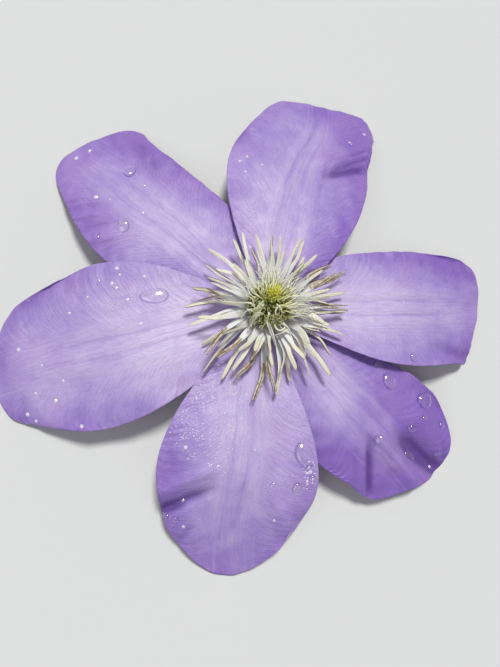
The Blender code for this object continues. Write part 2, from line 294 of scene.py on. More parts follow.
def blade_relief(sepal, u, v, along, across):
    """Heights (mm) of bars, grooves, veins and puckers, with the masks that the material reads."""
    seed = sepal["seed"]
    start, end = sepal["bars"]
    spread = 0.8 + 3.7 * np.sin(np.pi * np.clip(0.10 + 0.84 * u, 0, 1)) ** 0.8
    off = across - start - (end - start) * u - 0.7 * ripples(along, across, 34.0, seed)
    bars, ribs = (sum(bump(side * spread, width, off) for side in (-1.0, 0.0, 1.0))
                  for width in (BAR_WIDTH, RIB_WIDTH))
    grooves = sum(bump(side * spread, GROOVE_WIDTH, off) for side in (-0.5, 0.5))
    fade = (1 - ramp(0.62, 0.97, u)) * (0.75 + 0.25 * ripples(along, across, 18.0, seed + 3))
    side_way = np.maximum(np.abs(off) / 24.0, 0.002)
    fan = u - 0.40 * side_way**0.62 + 0.006 * ripples(along, across, 14.0, seed + 40)
    strong = np.clip(0.5 + 0.7 * ripples(along, across, 13.0, seed + 5), 0, 1)
    slant = np.sin(2 * np.pi * SIDE_VEINS * fan) * strong
    away = ramp(3.0, 9.0, np.abs(off))
    margin = ramp(0.42, 1.0, np.maximum(np.abs(v), ramp(0.6, 1.0, u) * 0.9))
    streak = ripples(along / 16.0, off / 1.1, 1.0, seed + 60) * (1 - ramp(5.0, 15.0, np.abs(off)))
    height = (BAR_HEIGHT * bars - GROOVE_DEPTH * grooves) * fade + STREAK_HEIGHT * streak * (1 - margin)
    height = height + slant * away * (0.03 + 0.08 * margin)
    height = height + SWELL_HEIGHT * ripples(along, across, SWELL_LENGTH, seed + 70)
    height = height + PUCKER_HEIGHT * ripples(along, across, PUCKER_LENGTH, seed + 80) * (0.35 + margin)
    masks = dict(bar=bars * fade, groove=grooves * fade, fan=fan, away=away, margin=margin, streak=streak,
                 off=off, rib=ribs * (1 - ramp(0.70, 0.98, u)))
    return height, masks


def folds(sepal, along, across):
    """Folds (mm): height * exp(-(distance from a line / half width)^2), faded out at the line's ends."""
    total = np.zeros_like(along)
    for x0, y0, x1, y1, half_width, height in sepal["folds"]:
        run = np.hypot(x1 - x0, y1 - y0)
        share = ((along - x0) * (x1 - x0) + (across - y0) * (y1 - y0)) / run**2
        away = ((along - x0) * (y1 - y0) - (across - y0) * (x1 - x0)) / run
        total += height * bump(0.0, half_width, away) * ramp(-0.25, 0.25, share) * ramp(1.25, 0.75, share)
    return total


# %% [markdown]
# ## The arch of a blade
#
# The blades rise a little from the receptacle, arch over and come down to rest on the
# surface with their tips. The crown gives the height by the distance from the flower's
# axis. Each blade lies one step higher for each layer, its sides lift or sink, its margin
# waves, and its outer part is bent down until the lowest point just touches the surface.

# %% Height of a blade
BEND_START = 40.0
WAVE_START, WAVE_FULL = 42.0, 62.0
CREASE_SHADE_DEPTH = 1.6


def settle(radius, height, rest):
    """Bends the outer part of a blade down, or up, until its lowest point has the height of rest."""
    bend = ramp(BEND_START, radius.max(), radius)
    for _ in range(4):
        lowest = height.argmin()
        height = height - (height.flat[lowest] - rest) / bend.flat[lowest] * bend
    return height


def blade_sheet(sepal):
    """The middle surface of a blade in the flower's frame (mm), with its parameters and masks."""
    u, v = np.meshgrid(np.linspace(0, 1, BLADE_ROWS), np.linspace(-1, 1, BLADE_COLUMNS), indexing="ij")
    along, across, t = blade_plan(sepal, u, v)
    radius = np.hypot(along, across)
    height = CROWN_HEIGHT + CROWN_RISE * radius - CROWN_DROOP * radius**2 + sepal["layer"] * LAYER_STEP
    lift = np.where(v > 0, *sepal["lift"]) * v**2 * np.sin(np.pi * np.clip(t, 0, 1))
    wave = np.sin(2 * np.pi * (sepal["waves"] * t + sepal["phase"] * np.sign(v)))
    height = height + lift + sepal["wave"] * wave * np.abs(v) ** 3 * ramp(WAVE_START, WAVE_FULL, radius)
    relief, masks = blade_relief(sepal, u, v, along, across)
    folded = folds(sepal, along, across)
    # Painted shade: the colour darkens in the valleys of the folds, as shade would fall in them.
    masks["crease_shade"] = np.clip(-folded / CREASE_SHADE_DEPTH, 0, 1) ** 1.5
    height = height + relief * ramp(6.0, 16.0, along) + folded
    height = settle(radius, height, BLADE_THICKNESS)
    turn = np.radians(sepal["heading"])
    x = along * np.cos(turn) - across * np.sin(turn)
    y = along * np.sin(turn) + across * np.cos(turn)
    return np.stack([x, y, height], -1) + FLOWER_AXIS, u, v, masks


# %% [markdown]
# ## Colour of the sepals
#
# The blade is palest, almost pink, near the stamens and along its bars, and deepens to
# violet at the margin and the tip. The grooves and veins are a shade darker. The valleys of
# the folds are painted darker still: painted shade, where shade would fall in them. All of
# this is driven by the attributes that the shape wrote, with a little noise so that no two
# spots are quite alike. The veins are the borders of Voronoi cells. The cells are counted in
# the blade's own two coordinates and drawn out lengthwise, so the net runs with the tissue.
# On the underside three greenish ribs stand out.

# %% Helpers for node trees


def connect(tree, source, target):
    """Links a socket, or writes a number or a colour, into a socket."""
    if isinstance(source, bpy.types.NodeSocket):
        tree.links.new(source, target)
    else:
        target.default_value = source


def node(tree, kind, sockets=None, **settings):
    """A node of a kind, with its properties set by name and its input sockets filled by name or number."""
    made = tree.nodes.new(kind)
    for name, value in settings.items():
        setattr(made, name, value)
    for name, source in (sockets or {}).items():
        connect(tree, source, made.inputs[name])
    return made


def new_material(name, roughness, **plain):
    """A material with its Principled shader, whose plain sockets are set by name."""
    material = bpy.data.materials.new(name)
    material.use_nodes = True
    shader = material.node_tree.nodes["Principled BSDF"]
    shader.inputs["Roughness"].default_value = roughness
    for socket, value in plain.items():
        shader.inputs[socket.replace("_", " ")].default_value = value
    return material, material.node_tree, shader


def math_node(tree, operation, *inputs):
    """The output of a Math node with these inputs."""
    return node(tree, "ShaderNodeMath", dict(enumerate(inputs)), operation=operation).outputs[0]


def times(tree, first, second):
    """The product of two values."""
    return math_node(tree, "MULTIPLY", first, second)


def paint(tree, shader, color, *layers):
    """Gives the shader a colour with more colours laid over it in turn, each by its factor from 0 to 1."""
    for factor, over in layers:
        mix = node(tree, "ShaderNodeMix", {"Factor": factor, "A": color, "B": over}, data_type="RGBA")
        color = mix.outputs["Result"]
    connect(tree, color, shader.inputs["Base Color"])


def value_of(tree, attribute):
    """The output of an Attribute node that reads a value stored on the mesh."""
    return node(tree, "ShaderNodeAttribute", attribute_name=attribute).outputs["Fac"]


def map_range(tree, source, low, high, new_low=0.0, new_high=1.0):
    """A value moved from one range to another, and kept inside it."""
    sockets = {"Value": source, "From Min": low, "From Max": high, "To Min": new_low, "To Max": new_high}
    return node(tree, "ShaderNodeMapRange", sockets).outputs["Result"]


def raise_grain(tree, shader, height, strength, distance):
    """Lets a height stand out in the shading, through a Bump node. The distance is in millimetres."""
    raised = node(tree, "ShaderNodeBump", {"Strength": strength, "Distance": distance * MM, "Height": height})
    connect(tree, raised.outputs["Normal"], shader.inputs["Normal"])


def rgb(red, green, blue):
    """A colour from 0 to 255 as a screen shows it, turned into the linear colour for a shader."""
    c = np.array([red, green, blue]) / 255
    linear = np.where(c <= 0.04045, c / 12.92, ((c + 0.055) / 1.055) ** 2.4)
    return (*[float(x) for x in linear], 1.0)


# %% Fine tissue: a node group that several materials share
FINER = 9.0


def tissue_group():
    """A node group: a cell-like mottle, and a finer grain as its height, at a given scale."""
    group = bpy.data.node_groups.new("plant tissue", "ShaderNodeTree")
    group.interface.new_socket("Scale", in_out="INPUT", socket_type="NodeSocketFloat")
    group.interface.new_socket("Mottle", in_out="OUTPUT", socket_type="NodeSocketFloat")
    group.interface.new_socket("Height", in_out="OUTPUT", socket_type="NodeSocketFloat")
    scale = node(group, "NodeGroupInput").outputs["Scale"]
    outputs = node(group, "NodeGroupOutput")
    where = node(group, "ShaderNodeTexCoord").outputs["Object"]
    for label, size, detail in (("Mottle", scale, 4.0), ("Height", times(group, scale, FINER), 2.0)):
        noise = node(group, "ShaderNodeTexNoise", {"Vector": where, "Scale": size, "Detail": detail})
        connect(group, noise.outputs["Fac"], outputs.inputs[label])
    return group


TISSUE = tissue_group()


def tissue(tree, scale):
    """The mottle and the height of the tissue group at a scale, in patches to the metre."""
    made = node(tree, "ShaderNodeGroup", node_tree=TISSUE)
    made.inputs["Scale"].default_value = scale
    return made.outputs["Mottle"], made.outputs["Height"]


# %% Veins of a sepal: cells along the whole blade and across each millimetre, in its middle and at its sides
MIDDLE_CELLS = (9.0, 0.95)
SIDE_CELLS = (58.0, 0.20)
FINE_VEINS = 90


def vein_net(tree, fan, off, cells, wobble):
    """The lines between the cells of a Voronoi pattern in two coordinates: 1 on a line, 0 inside a cell."""
    along, across = (math_node(tree, "ADD", times(tree, value, count), wobble)
                     for value, count in zip((fan, off), cells))
    cell = node(tree, "ShaderNodeCombineXYZ", {"X": along, "Y": across})
    net = node(tree, "ShaderNodeTexVoronoi", {"Scale": 1.0, "Vector": cell.outputs["Vector"]},
               voronoi_dimensions="2D", feature="DISTANCE_TO_EDGE")
    return map_range(tree, net.outputs["Distance"], 0.02, 0.20, 1.0, 0.0)


def sepal_veins(tree, mottle, grain):
    """Veins from 0 to 1: a net drawn out along the blade in its middle, and outwards at its sides."""
    fan, off, away = (value_of(tree, label) for label in ("fan", "off", "away"))
    wobble = times(tree, mottle, 2.4)
    middle = vein_net(tree, fan, off, MIDDLE_CELLS, wobble)
    side = vein_net(tree, fan, off, SIDE_CELLS, wobble)
    phase = math_node(tree, "MULTIPLY_ADD", fan, 2 * np.pi * FINE_VEINS, times(tree, mottle, 9.0))
    side = math_node(tree, "MULTIPLY_ADD", math_node(tree, "SINE", phase), 0.35, side)
    middle = times(tree, middle, 0.75)
    spread = times(tree, math_node(tree, "SUBTRACT", side, middle), away)
    net = math_node(tree, "ADD", middle, spread)
    return times(tree, net, map_range(tree, grain, 0.36, 0.60, 0.25, 1.0))


# %% Sepal material


def sepal_material():
    """Pale lavender with violet margins, paler bars and a net of darker veins, satin and a little velvety,
    with painted shade in the valleys of its folds; its depth of colour is partly painted shade too.
    """
    material, tree, shader = new_material("sepal_lavender", 0.5, Sheen_Weight=0.10, Sheen_Roughness=0.4,
                                          Specular_IOR_Level=0.32)
    mottle, grain = tissue(tree, 230.0)
    patch, _ = tissue(tree, 75.0)
    vein = sepal_veins(tree, mottle, grain)
    depth = math_node(tree, "ADD", value_of(tree, "depth"), map_range(tree, mottle, 0.3, 0.7, -0.11, 0.11))
    streak = value_of(tree, "streak")
    bar, groove, crease_shade, under, rib = (
        times(tree, value_of(tree, label), share) for label, share in
        (("bar", 0.22), ("groove", 0.26), ("crease_shade", 0.66), ("under", 0.5), ("rib", 0.75)))
    paint(
        tree, shader, rgb(216, 203, 233),
        (map_range(tree, depth, 0.0, 0.35), rgb(196, 179, 223)),
        (map_range(tree, depth, 0.35, 0.70), rgb(169, 147, 209)),
        (map_range(tree, depth, 0.70, 1.10), rgb(141, 111, 191)),
        (map_range(tree, patch, 0.46, 0.62, 0.0, 0.18), rgb(196, 158, 212)),
        (bar, rgb(220, 212, 232)),
        (groove, rgb(152, 120, 192)),
        (map_range(tree, streak, 0.3, 1.8, 0.0, 0.12), rgb(150, 120, 200)),
        (map_range(tree, streak, -0.3, -1.8, 0.0, 0.14), rgb(226, 216, 234)),
        (map_range(tree, vein, 0.0, 1.0, 0.0, 0.27), rgb(128, 97, 180)),
        # Painted shade in the valleys of the folds.
        (crease_shade, rgb(80, 48, 124)),
        (under, rgb(206, 198, 212)),
        (rib, rgb(150, 152, 124)))
    connect(tree, map_range(tree, mottle, 0.3, 0.7, 0.42, 0.58), shader.inputs["Roughness"])
    raise_grain(tree, shader, math_node(tree, "MULTIPLY_ADD", vein, -0.6, grain), 0.6, 0.13)
    return material


# %% [markdown]
# ## Make the six blades
#
# The blade is thickest in the middle of its base and thins to a fine edge. The depth of the
# colour grows with the distance from the flower's middle and with the nearness of the margin,
# and each sepal adds its own tone and painted shade, all over, on each side and in its outer
# half.

# %% Build the blades
SEPAL_FINISH = sepal_material()
BLADES = {}


def color_depth(sepal, points, v, margin):
    """How deep the colour is: ramps outwards and towards the margins, added up, with some ripples. The tone
    of each sepal, of its sides and of its outer half is partly painted shade.
    """
    tone_and_shade, left_tone_and_shade, right_tone_and_shade, outer_tone_and_shade = sepal["tone_and_shade"]
    distance = np.hypot(points[..., 0] - FLOWER_AXIS[0], points[..., 1] - FLOWER_AXIS[1])
    # The sepal's tones are partly painted shade, set for each sepal, each side and the outer half.
    depth = 0.10 + tone_and_shade + 0.34 * ramp(26, 72, distance) + outer_tone_and_shade * ramp(24, 50, distance)
    depth = depth + 0.30 * ramp(0.12, 0.95, np.abs(v))
    depth = depth + 0.16 * margin**2 + np.where(v > 0, left_tone_and_shade, right_tone_and_shade) * np.abs(v)
    return depth + 0.10 * ripples(points[..., 0], points[..., 1], 22.0, sepal["seed"] + 7)


def build_blade(name, sepal):
    """One sepal: its shell, and the masks that the material reads. Its sheet is kept for the drops."""
    points, u, v, masks = blade_sheet(sepal)
    edge = np.maximum(np.abs(v) ** 5, ramp(0.80, 1.0, u))
    half = BLADE_THICKNESS / 2 * (1 - 0.6 * edge)
    corners, faces = shell(points, half, half + RIB_HEIGHT * masks["rib"])
    masks["depth"] = color_depth(sepal, points, v, masks.pop("margin"))
    values = {label: np.tile(mask.ravel(), 2) for label, mask in masks.items()}
    values["under"] = np.repeat([0.0, 1.0], u.size)
    values["rib"] = values["rib"] * values["under"]
    BLADES[name] = points
    place(add_piece(f"{name}_blade", corners, faces, SEPAL_FINISH, values), "sepal", name)


for sepal_name, sepal_facts in SEPALS.items():
    build_blade(sepal_name, sepal_facts)

# %% [markdown]
# ## Tubes that follow paths
#
# Stamens, styles, hairs and the stalk are all tubes: a section carried along a path. The
# section is an ellipse whose two radii change along the way. At each point of the path the
# section stands square to the path, with its wide side level unless it is rolled. Many tubes
# can be worked out at once, because the arrays just get one more axis.

# %% Frames and rings


def round_angles(around):
    """Angles once round a circle, evenly spaced."""
    return np.linspace(0, 2 * np.pi, around, endpoint=False)


def path_frames(paths, rolls):
    """Unit vectors across and over each path point: level and square to the path, turned by its roll."""
    forward = unit(np.gradient(paths, axis=-2))
    level = np.cross(forward, UP)
    spare = np.broadcast_to(np.array([1.0, 0.0, 0.0]), level.shape)
    level = unit(np.where(np.linalg.norm(level, axis=-1, keepdims=True) > 0.05, level, spare))
    over = np.cross(level, forward)
    c, s = np.cos(rolls)[..., None], np.sin(rolls)[..., None]
    return level * c + over * s, over * c - level * s


def tube_rings(paths, half_widths, half_heights, rolls, around):
    """Rings of points: path + width * cos(angle) * across + height * sin(angle) * over.

    The angle runs backwards, so that the faces between the rings look outwards.
    """
    across, over = path_frames(paths, rolls)
    angle = -round_angles(around)
    wide = half_widths[..., None, None] * np.cos(angle)[:, None] * across[..., None, :]
    high = half_heights[..., None, None] * np.sin(angle)[:, None] * over[..., None, :]
    return paths[..., None, :] + wide + high


def round_rings(paths, girth, around):
    """Rings of tubes with a round section, whose girth is one row for all the tubes or a row for each."""
    girth = np.broadcast_to(girth, paths.shape[:2])
    return tube_rings(paths, girth, girth, np.zeros(girth.shape), around)


# %% Tubes as pieces


def tube_mesh(rings):
    """Points and faces of tubes from rings shaped (tubes, rows, around, 3), each end closed to a point."""
    tubes, rows, around = rings.shape[:3]
    ends = np.stack([rings[:, 0].mean(1), rings[:, -1].mean(1)], 1)
    points = np.concatenate([rings.reshape(tubes, -1, 3), ends], 1)
    number = np.arange(rows * around).reshape(rows, around)
    after = np.roll(number, -1, axis=1)
    side = np.stack([number[:-1], after[:-1], after[1:], number[1:]], -1).reshape(-1, 4)
    first = np.stack([after[0], number[0], np.full(around, rows * around)], -1)
    last = np.stack([number[-1], after[-1], np.full(around, rows * around + 1)], -1)
    start = np.arange(tubes)[:, None, None] * (rows * around + 2)
    quads = (side + start).reshape(-1, 4).tolist()
    fans = (np.concatenate([first, last]) + start).reshape(-1, 3).tolist()
    return points.reshape(-1, 3), quads + fans


def tube_values(values, rings):
    """A value for each ring, or each ring point, spread to all points of the tubes, ends included."""
    tubes, rows, around = rings.shape[:3]
    full = np.broadcast_to(values, (tubes, rows, around))
    return np.concatenate([full.reshape(tubes, -1), full[:, 0, :1], full[:, -1, :1]], 1).ravel()


def add_tubes(name, rings, finish, slot, values=None, nodes=()):
    """A piece from the rings of closed tubes, with its finish, values and plain nodes."""
    spread = {label: tube_values(value, rings) for label, value in (values or {}).items()}
    return place(add_piece(name, *tube_mesh(rings), finish, spread), slot, *nodes)


# %% Paths of tubes


def polar(heading, radius, height):
    """Points from headings in degrees, distances from the flower's axis and heights (mm)."""
    turn = np.radians(heading)
    flat = np.stack([radius * np.cos(turn), radius * np.sin(turn), height * np.ones_like(turn)], -1)
    return flat + FLOWER_AXIS


def curves(controls, rows):
    """Bezier curves through arrays of control points, shaped (controls, curves, 3) -> (curves, rows, 3)."""
    t = np.linspace(0, 1, rows)[:, None]
    return bezier([c[:, None] for c in controls], t)


# %% [markdown]
# ## The stamens
#
# Each stamen is a flat white filament that widens upwards and carries a long cream anther on
# its outer part. The feet stand evenly round the receptacle in four tiers. Old anthers
# have split and their edges have dried brown.

# %% Where the stamens stand: tip heading in degrees, reach and tip height in mm
LOW_STAMENS = np.array([
    (12, 22.0, 18.0), (24, 24.0, 17.5), (38, 21.5, 18.5), (58, 20.0, 20.0), (80, 19.0, 20.5),
    (101, 20.0, 20.0), (122, 20.5, 19.0), (136, 22.5, 18.0), (150, 20.5, 18.0), (166, 21.0, 18.5),
    (183, 22.5, 18.0), (196, 22.0, 18.0), (209, 20.5, 17.5), (226, 25.0, 17.0), (237, 23.0, 17.5),
    (251, 21.0, 18.0), (263, 25.0, 17.5), (275, 23.5, 18.0), (289, 20.5, 18.0), (303, 22.0, 17.5),
    (315, 24.5, 17.0), (328, 21.0, 18.0), (341, 22.0, 17.5), (354, 21.0, 18.5),
])
MIDDLE_STAMENS = np.array([
    (1, 21.5, 20.5), (24, 19.0, 21.5), (47, 19.0, 21.0), (68, 20.5, 22.0), (89, 18.5, 23.0),
    (112, 21.0, 21.0), (143, 17.0, 21.5), (170, 17.5, 21.5), (216, 21.5, 20.0), (243, 20.0, 20.5),
    (267, 22.5, 20.0), (284, 18.5, 21.0), (314, 18.0, 20.5), (340, 19.0, 21.0),
])
TOP_COUNT = 14
TOP_SWING = np.sin(2.4 * np.arange(TOP_COUNT))
TOP_STAMENS = np.stack([
    8 + 360 / TOP_COUNT * np.arange(TOP_COUNT) + 4 * TOP_SWING,
    15 + 1.8 * TOP_SWING, 24 - 1.2 * TOP_SWING], -1)
FOOT_RADIUS = 3.85

# %% The tiers: tips, height of the feet in mm, rise from the receptacle in degrees
TIERS = ((LOW_STAMENS[0::2], 14.9, 20), (LOW_STAMENS[1::2], 15.7, 28), (MIDDLE_STAMENS, 16.5, 38),
         (TOP_STAMENS, 17.3, 52))


def stamen_paths(tips, foot_height, rise, rows):
    """Arcs from evenly spaced feet to the tips, leaving the receptacle at the given rise in degrees."""
    count = len(tips)
    heading, reach, height = tips.T
    spaced = np.arange(count) * 360 / count
    feet = spaced + (heading - spaced).mean()
    start = polar(feet, np.full(count, FOOT_RADIUS), foot_height)
    middle_height = foot_height + (0.5 * reach - FOOT_RADIUS) * np.tan(np.radians(rise))
    middle = polar(feet + 0.35 * (heading - feet), 0.5 * reach, middle_height)
    return curves([start, middle, polar(heading, reach, height)], rows)


# %% [markdown]
# ### The section of a stamen
#
# The filament is a thin flat strap, widest at a third of its length. The anther above it is
# narrower and thicker, with a furrow along the middle of each face. The profile gives the
# half width and the half height along the stamen.

# %% Profile of a stamen
STAMEN_ROWS = 30
STAMEN_AROUND = 12
ANTHER_START = 0.64
STRAP_END = ANTHER_START + 0.04
STRAND_START = ANTHER_START - 0.06
STRAND_ROLL = 0.5
FURROW_WIDTH, FURROW_DEPTH = 0.45, 0.5
SPLIT_RIPENESS = 0.9


def blunt_end(t, length):
    """Closes a tube over its last stretch of the given length: sqrt((1 - t) / length), never quite to 0."""
    return np.sqrt(np.clip((1 - t) / length, 0.05, 1.0))


def stamen_profile(t):
    """Half width and half height (mm) along a stamen, from its slim foot to the anther's blunt tip."""
    strap = 0.42 + 0.56 * ramp(0.0, 0.30, t) - 0.38 * ramp(0.45, 0.72, t) - 0.08 * ramp(0.74, 1.0, t)
    anther = ramp(ANTHER_START - 0.04, ANTHER_START + 0.08, t)
    close = blunt_end(t, 0.06)
    return strap * close, (0.11 + 0.07 * anther) * close


def strand_profile(t):
    """Half width and half height (mm) along one half of a split anther: thin, tapering to a dry tip."""
    width = 0.39 - 0.16 * ramp(0.45, 1.0, t)
    return width, 0.45 * width


# %% [markdown]
# ### Stamens that bend, and anthers that split
#
# No two stamens lie alike. Each path is bent sideways by an arc, and its tip curls a little.
# A ripe anther has split lengthwise: its two halves part and dry brown along their edges, so
# it is made as a shorter strap with two thin strands that continue it.

# %% Bend and split


def sideways(paths):
    """The level unit vector square to the line from a path's start to its end, for one path or many."""
    chord = paths[..., -1, :] - paths[..., 0, :]
    return unit(np.cross(UP, chord))


def bend_path(path, bow, curl, droop):
    """Moves a path sideways by bow * sin(pi t) + curl * tip, and sinks it by droop * tip (mm).

    Tip is a ramp over the outer part of the path, squared.
    """
    t = np.linspace(0, 1, len(path))
    tip = ramp(0.60, 1.0, t) ** 2
    bent = path + (bow * np.sin(np.pi * t) + curl * tip)[:, None] * sideways(path)
    bent[:, 2] -= droop * tip
    return bent


def part_of_path(path, first, last, rows):
    """The stretch of a path between two shares of its length, resampled to a number of rows."""
    at = np.linspace(first, last, rows) * (len(path) - 1)
    return np.stack([np.interp(at, np.arange(len(path)), path[:, axis]) for axis in range(3)], -1)


def split_strands(path, parting, lift):
    """The two halves of a split anther: paths from the strap's end that part sideways and in height."""
    stretch = part_of_path(path, STRAND_START, 1.0, STAMEN_ROWS)
    t = np.linspace(0, 1, STAMEN_ROWS)
    apart = (0.32 + parting * t**1.5)[:, None] * sideways(path)
    strands = np.stack([stretch + apart, stretch - 0.8 * apart])
    strands[:, :, 2] += np.array([[1.0], [-0.5]]) * lift * t**2
    return strands


# %% Rings of one stamen


def stamen_rings(path, roll, width, ripe, parting, lift):
    """Rings of one stamen, and the share of its length at each ring.

    It is a furrowed strap, and where it is fully ripe a shorter strap with two strands.
    """
    t = np.linspace(0, 1, STAMEN_ROWS)
    split = ripe > SPLIT_RIPENESS
    strap_path = part_of_path(path, 0.0, STRAP_END, STAMEN_ROWS) if split else path
    share = t * STRAP_END if split else t
    half_width, half_height = stamen_profile(share)
    close = blunt_end(t, 0.08) if split else 1.0
    strap = tube_rings(strap_path, half_width * width * close, half_height, roll, STAMEN_AROUND)
    furrow = FURROW_DEPTH * bump(0.0, FURROW_WIDTH, np.cos(round_angles(STAMEN_AROUND)))
    furrow = furrow * ramp(0.02, 0.2, t)[:, None]
    strap = strap + furrow[..., None] * (strap_path[:, None] - strap)
    if not split:
        return strap[None], share[None]
    wide, high = (np.stack([size, size]) for size in strand_profile(t))
    rolls = np.stack([roll + STRAND_ROLL, roll - STRAND_ROLL])
    strands = tube_rings(split_strands(path, parting, lift), wide, high, rolls, STAMEN_AROUND)
    outer_share = 0.66 + 0.34 * t
    return np.concatenate([strap[None], strands]), np.stack([share, outer_share, outer_share])


# %% Stamen material


def stamen_material():
    """White strap, greenish at its foot, pale cream anther, and brown dry edges where it has split."""
    material, tree, shader = new_material("stamen_cream", 0.42)
    mottle, grain = tissue(tree, 1100.0)
    along, edge, ripe, strand = (value_of(tree, label) for label in ("along", "edge", "ripe", "strand"))
    anther = map_range(tree, along, ANTHER_START - 0.10, ANTHER_START + 0.10)
    rim = times(tree, map_range(tree, edge, 0.50, 0.86), anther)
    rim = times(tree, rim, map_range(tree, ripe, 0.28, 0.80))
    paint(
        tree, shader, rgb(196, 206, 176),
        (map_range(tree, along, 0.02, 0.20), rgb(238, 240, 238)),
        (anther, rgb(240, 240, 217)),
        (map_range(tree, mottle, 0.45, 0.68, 0.0, 0.22), rgb(216, 215, 184)),
        (map_range(tree, along, 0.84, 1.0, 0.0, 0.32), rgb(206, 197, 148)),
        (times(tree, map_range(tree, edge, 0.45, 0.10, 0.0, 0.40), anther), rgb(200, 196, 150)),
        (rim, rgb(100, 70, 38)),
        (times(tree, strand, map_range(tree, mottle, 0.40, 0.62, 0.15, 0.75)), rgb(142, 112, 66)))
    raise_grain(tree, shader, grain, 0.4, 0.12)
    return material


STAMEN_FINISH = stamen_material()

# %% [markdown]
# ### Where the anthers are ripe
#
# The anthers do not ripen evenly round the ring. A few sectors, given by their headings, hold
# most of the split and browned ones. The stamens on the near side are broad straps, and those
# on the far side are slimmer.

# %% Ripeness and width by heading
RIPE_SECTORS = ((170, 14), (32, 14), (0, 12), (328, 9), (262, 15), (224, 10))
SPLIT_HEADINGS = (251, 263, 267)
RIPENESS = (0.1, 0.4, 0.8, 1.0)
CHANCE_INSIDE, CHANCE_OUTSIDE = (0.10, 0.20, 0.45, 0.25), (0.62, 0.31, 0.05, 0.02)
STAMEN_LINES = []


def ripeness(heading, draw):
    """How ripe an anther is: likely in the ripe sectors, seldom elsewhere, and split at a few headings."""
    inside = any(abs((heading - middle + 180) % 360 - 180) < reach for middle, reach in RIPE_SECTORS)
    ripe = draw.choice(RIPENESS, p=CHANCE_INSIDE if inside else CHANCE_OUTSIDE)
    return 1.0 if heading in SPLIT_HEADINGS else float(ripe)


def add_stamens(name, paths, headings, draw, *nodes):
    """One piece with a stamen on each path, each with its own bend, roll, width and ripeness."""
    made = []
    for path, heading in zip(paths, headings):
        ripe = ripeness(heading, draw)
        near = ramp(0.5, -0.5, np.sin(np.radians(heading)))
        width = draw.uniform(0.86, 1.06) * (0.84 + 0.20 * near)
        bent = bend_path(path, draw.normal(0, 0.55), draw.normal(0, 0.9), draw.normal(0.4, 0.6))
        roll = draw.normal(0, 0.30) + draw.normal(0, 0.55) * np.linspace(0, 1, STAMEN_ROWS)
        parting, lift = abs(draw.normal(0.12, 0.24)), draw.normal(0.1, 0.35)
        rings, along = stamen_rings(bent, roll, width, ripe, parting, lift)
        made.append((rings, along, np.full(len(rings), ripe), (np.arange(len(rings)) > 0) * 1.0))
        STAMEN_LINES.append(bent)
    rings, along, ripe, strand = (np.concatenate(each) for each in zip(*made))
    edge = np.abs(np.cos(round_angles(STAMEN_AROUND)))
    values = {"along": along[..., None], "edge": edge,
              "ripe": ripe[:, None, None], "strand": strand[:, None, None]}
    add_tubes(name, rings, STAMEN_FINISH, "stamen", values, nodes)


# %% Build the ring of stamens, one piece each
draw_stamen = np.random.default_rng(5)
ring_of_stamens = [(path, heading) for tips, foot_height, rise in TIERS
                   for path, heading in zip(stamen_paths(tips, foot_height, rise, STAMEN_ROWS), tips[:, 0])]
for number, (path, heading) in enumerate(ring_of_stamens, start=1):
    add_stamens(f"stamen_fine_{number:02d}", path[None], [heading], draw_stamen, f"stamen_{number:02d}")

# %% Fill the ring with the inner stamens, in one piece
INNER_COUNT = 26
INNER_FOOT_HEIGHT, INNER_RISE = 17.0, 44
draw_inner = np.random.default_rng(8)
inner_tips = np.stack([
    7 + 360 / INNER_COUNT * np.arange(INNER_COUNT) + draw_inner.normal(0, 4, INNER_COUNT),
    draw_inner.uniform(13, 20, INNER_COUNT), draw_inner.uniform(19.5, 24, INNER_COUNT)], -1)
inner_paths = stamen_paths(inner_tips, INNER_FOOT_HEIGHT, INNER_RISE, STAMEN_ROWS)
add_stamens("stamens_inner", inner_paths, inner_tips[:, 0], draw_inner)

# %% [markdown]
# ## The head of carpels
#
# In the middle stands a dome of small green carpels, covered with silky hairs. Each ends in
# a thin style. The innermost styles stand up in a yellow-green tuft, and the others arch and
# curl outwards over the feet of the stamens as fine white threads. Turning by 137.5 degrees
# from one carpel to the next fills the dome evenly, as a sunflower fills its disc.

# %% Places on the dome
HEAD_RADIUS = 5.5
HEAD_HALF_HEIGHT = 3.6
HEAD_MIDDLE = np.array([-0.9, -0.8, 21.2]) + FLOWER_AXIS
GOLDEN_TURN = np.radians(137.508)


def sphere_direction(tilt, turn):
    """Unit vectors at angles from the upright and round it: (sin a cos b, sin a sin b, cos a)."""
    parts = np.broadcast_arrays(np.sin(tilt) * np.cos(turn), np.sin(tilt) * np.sin(turn), np.cos(tilt))
    return np.stack(parts, -1)


def dome_direction(count, deepest=1.35):
    """Unit vectors spread evenly over the dome, from its top down to the given depth of the unit sphere."""
    index = np.arange(count)
    tilt = np.arccos(np.clip(1 - (index + 0.5) / count * deepest, -1, 1))
    return sphere_direction(tilt, GOLDEN_TURN * index)


def dome_point(direction, swell):
    """The point of the dome (mm) in a direction, on an ellipsoid scaled by swell."""
    return direction * np.array([HEAD_RADIUS, HEAD_RADIUS, HEAD_HALF_HEIGHT]) * swell + HEAD_MIDDLE


# %% The core, the carpels and the hairs
CORE_ROWS, CORE_AROUND, CORE_SWELL = 22, 36, 0.80
CARPEL_ROWS, CARPEL_AROUND, CARPEL_SWELL = 8, 8, 0.68
HAIR_ROWS, HAIR_AROUND, HAIR_SWELL, HAIR_GIRTH = 5, 4, 0.98, 0.045


def core_rings():
    """The core of the head: an ellipsoid as rings of points from its bottom to its top."""
    tilt = np.linspace(np.pi * 0.985, np.pi * 0.015, CORE_ROWS)[:, None]
    return dome_point(sphere_direction(tilt, round_angles(CORE_AROUND)), CORE_SWELL)[None]


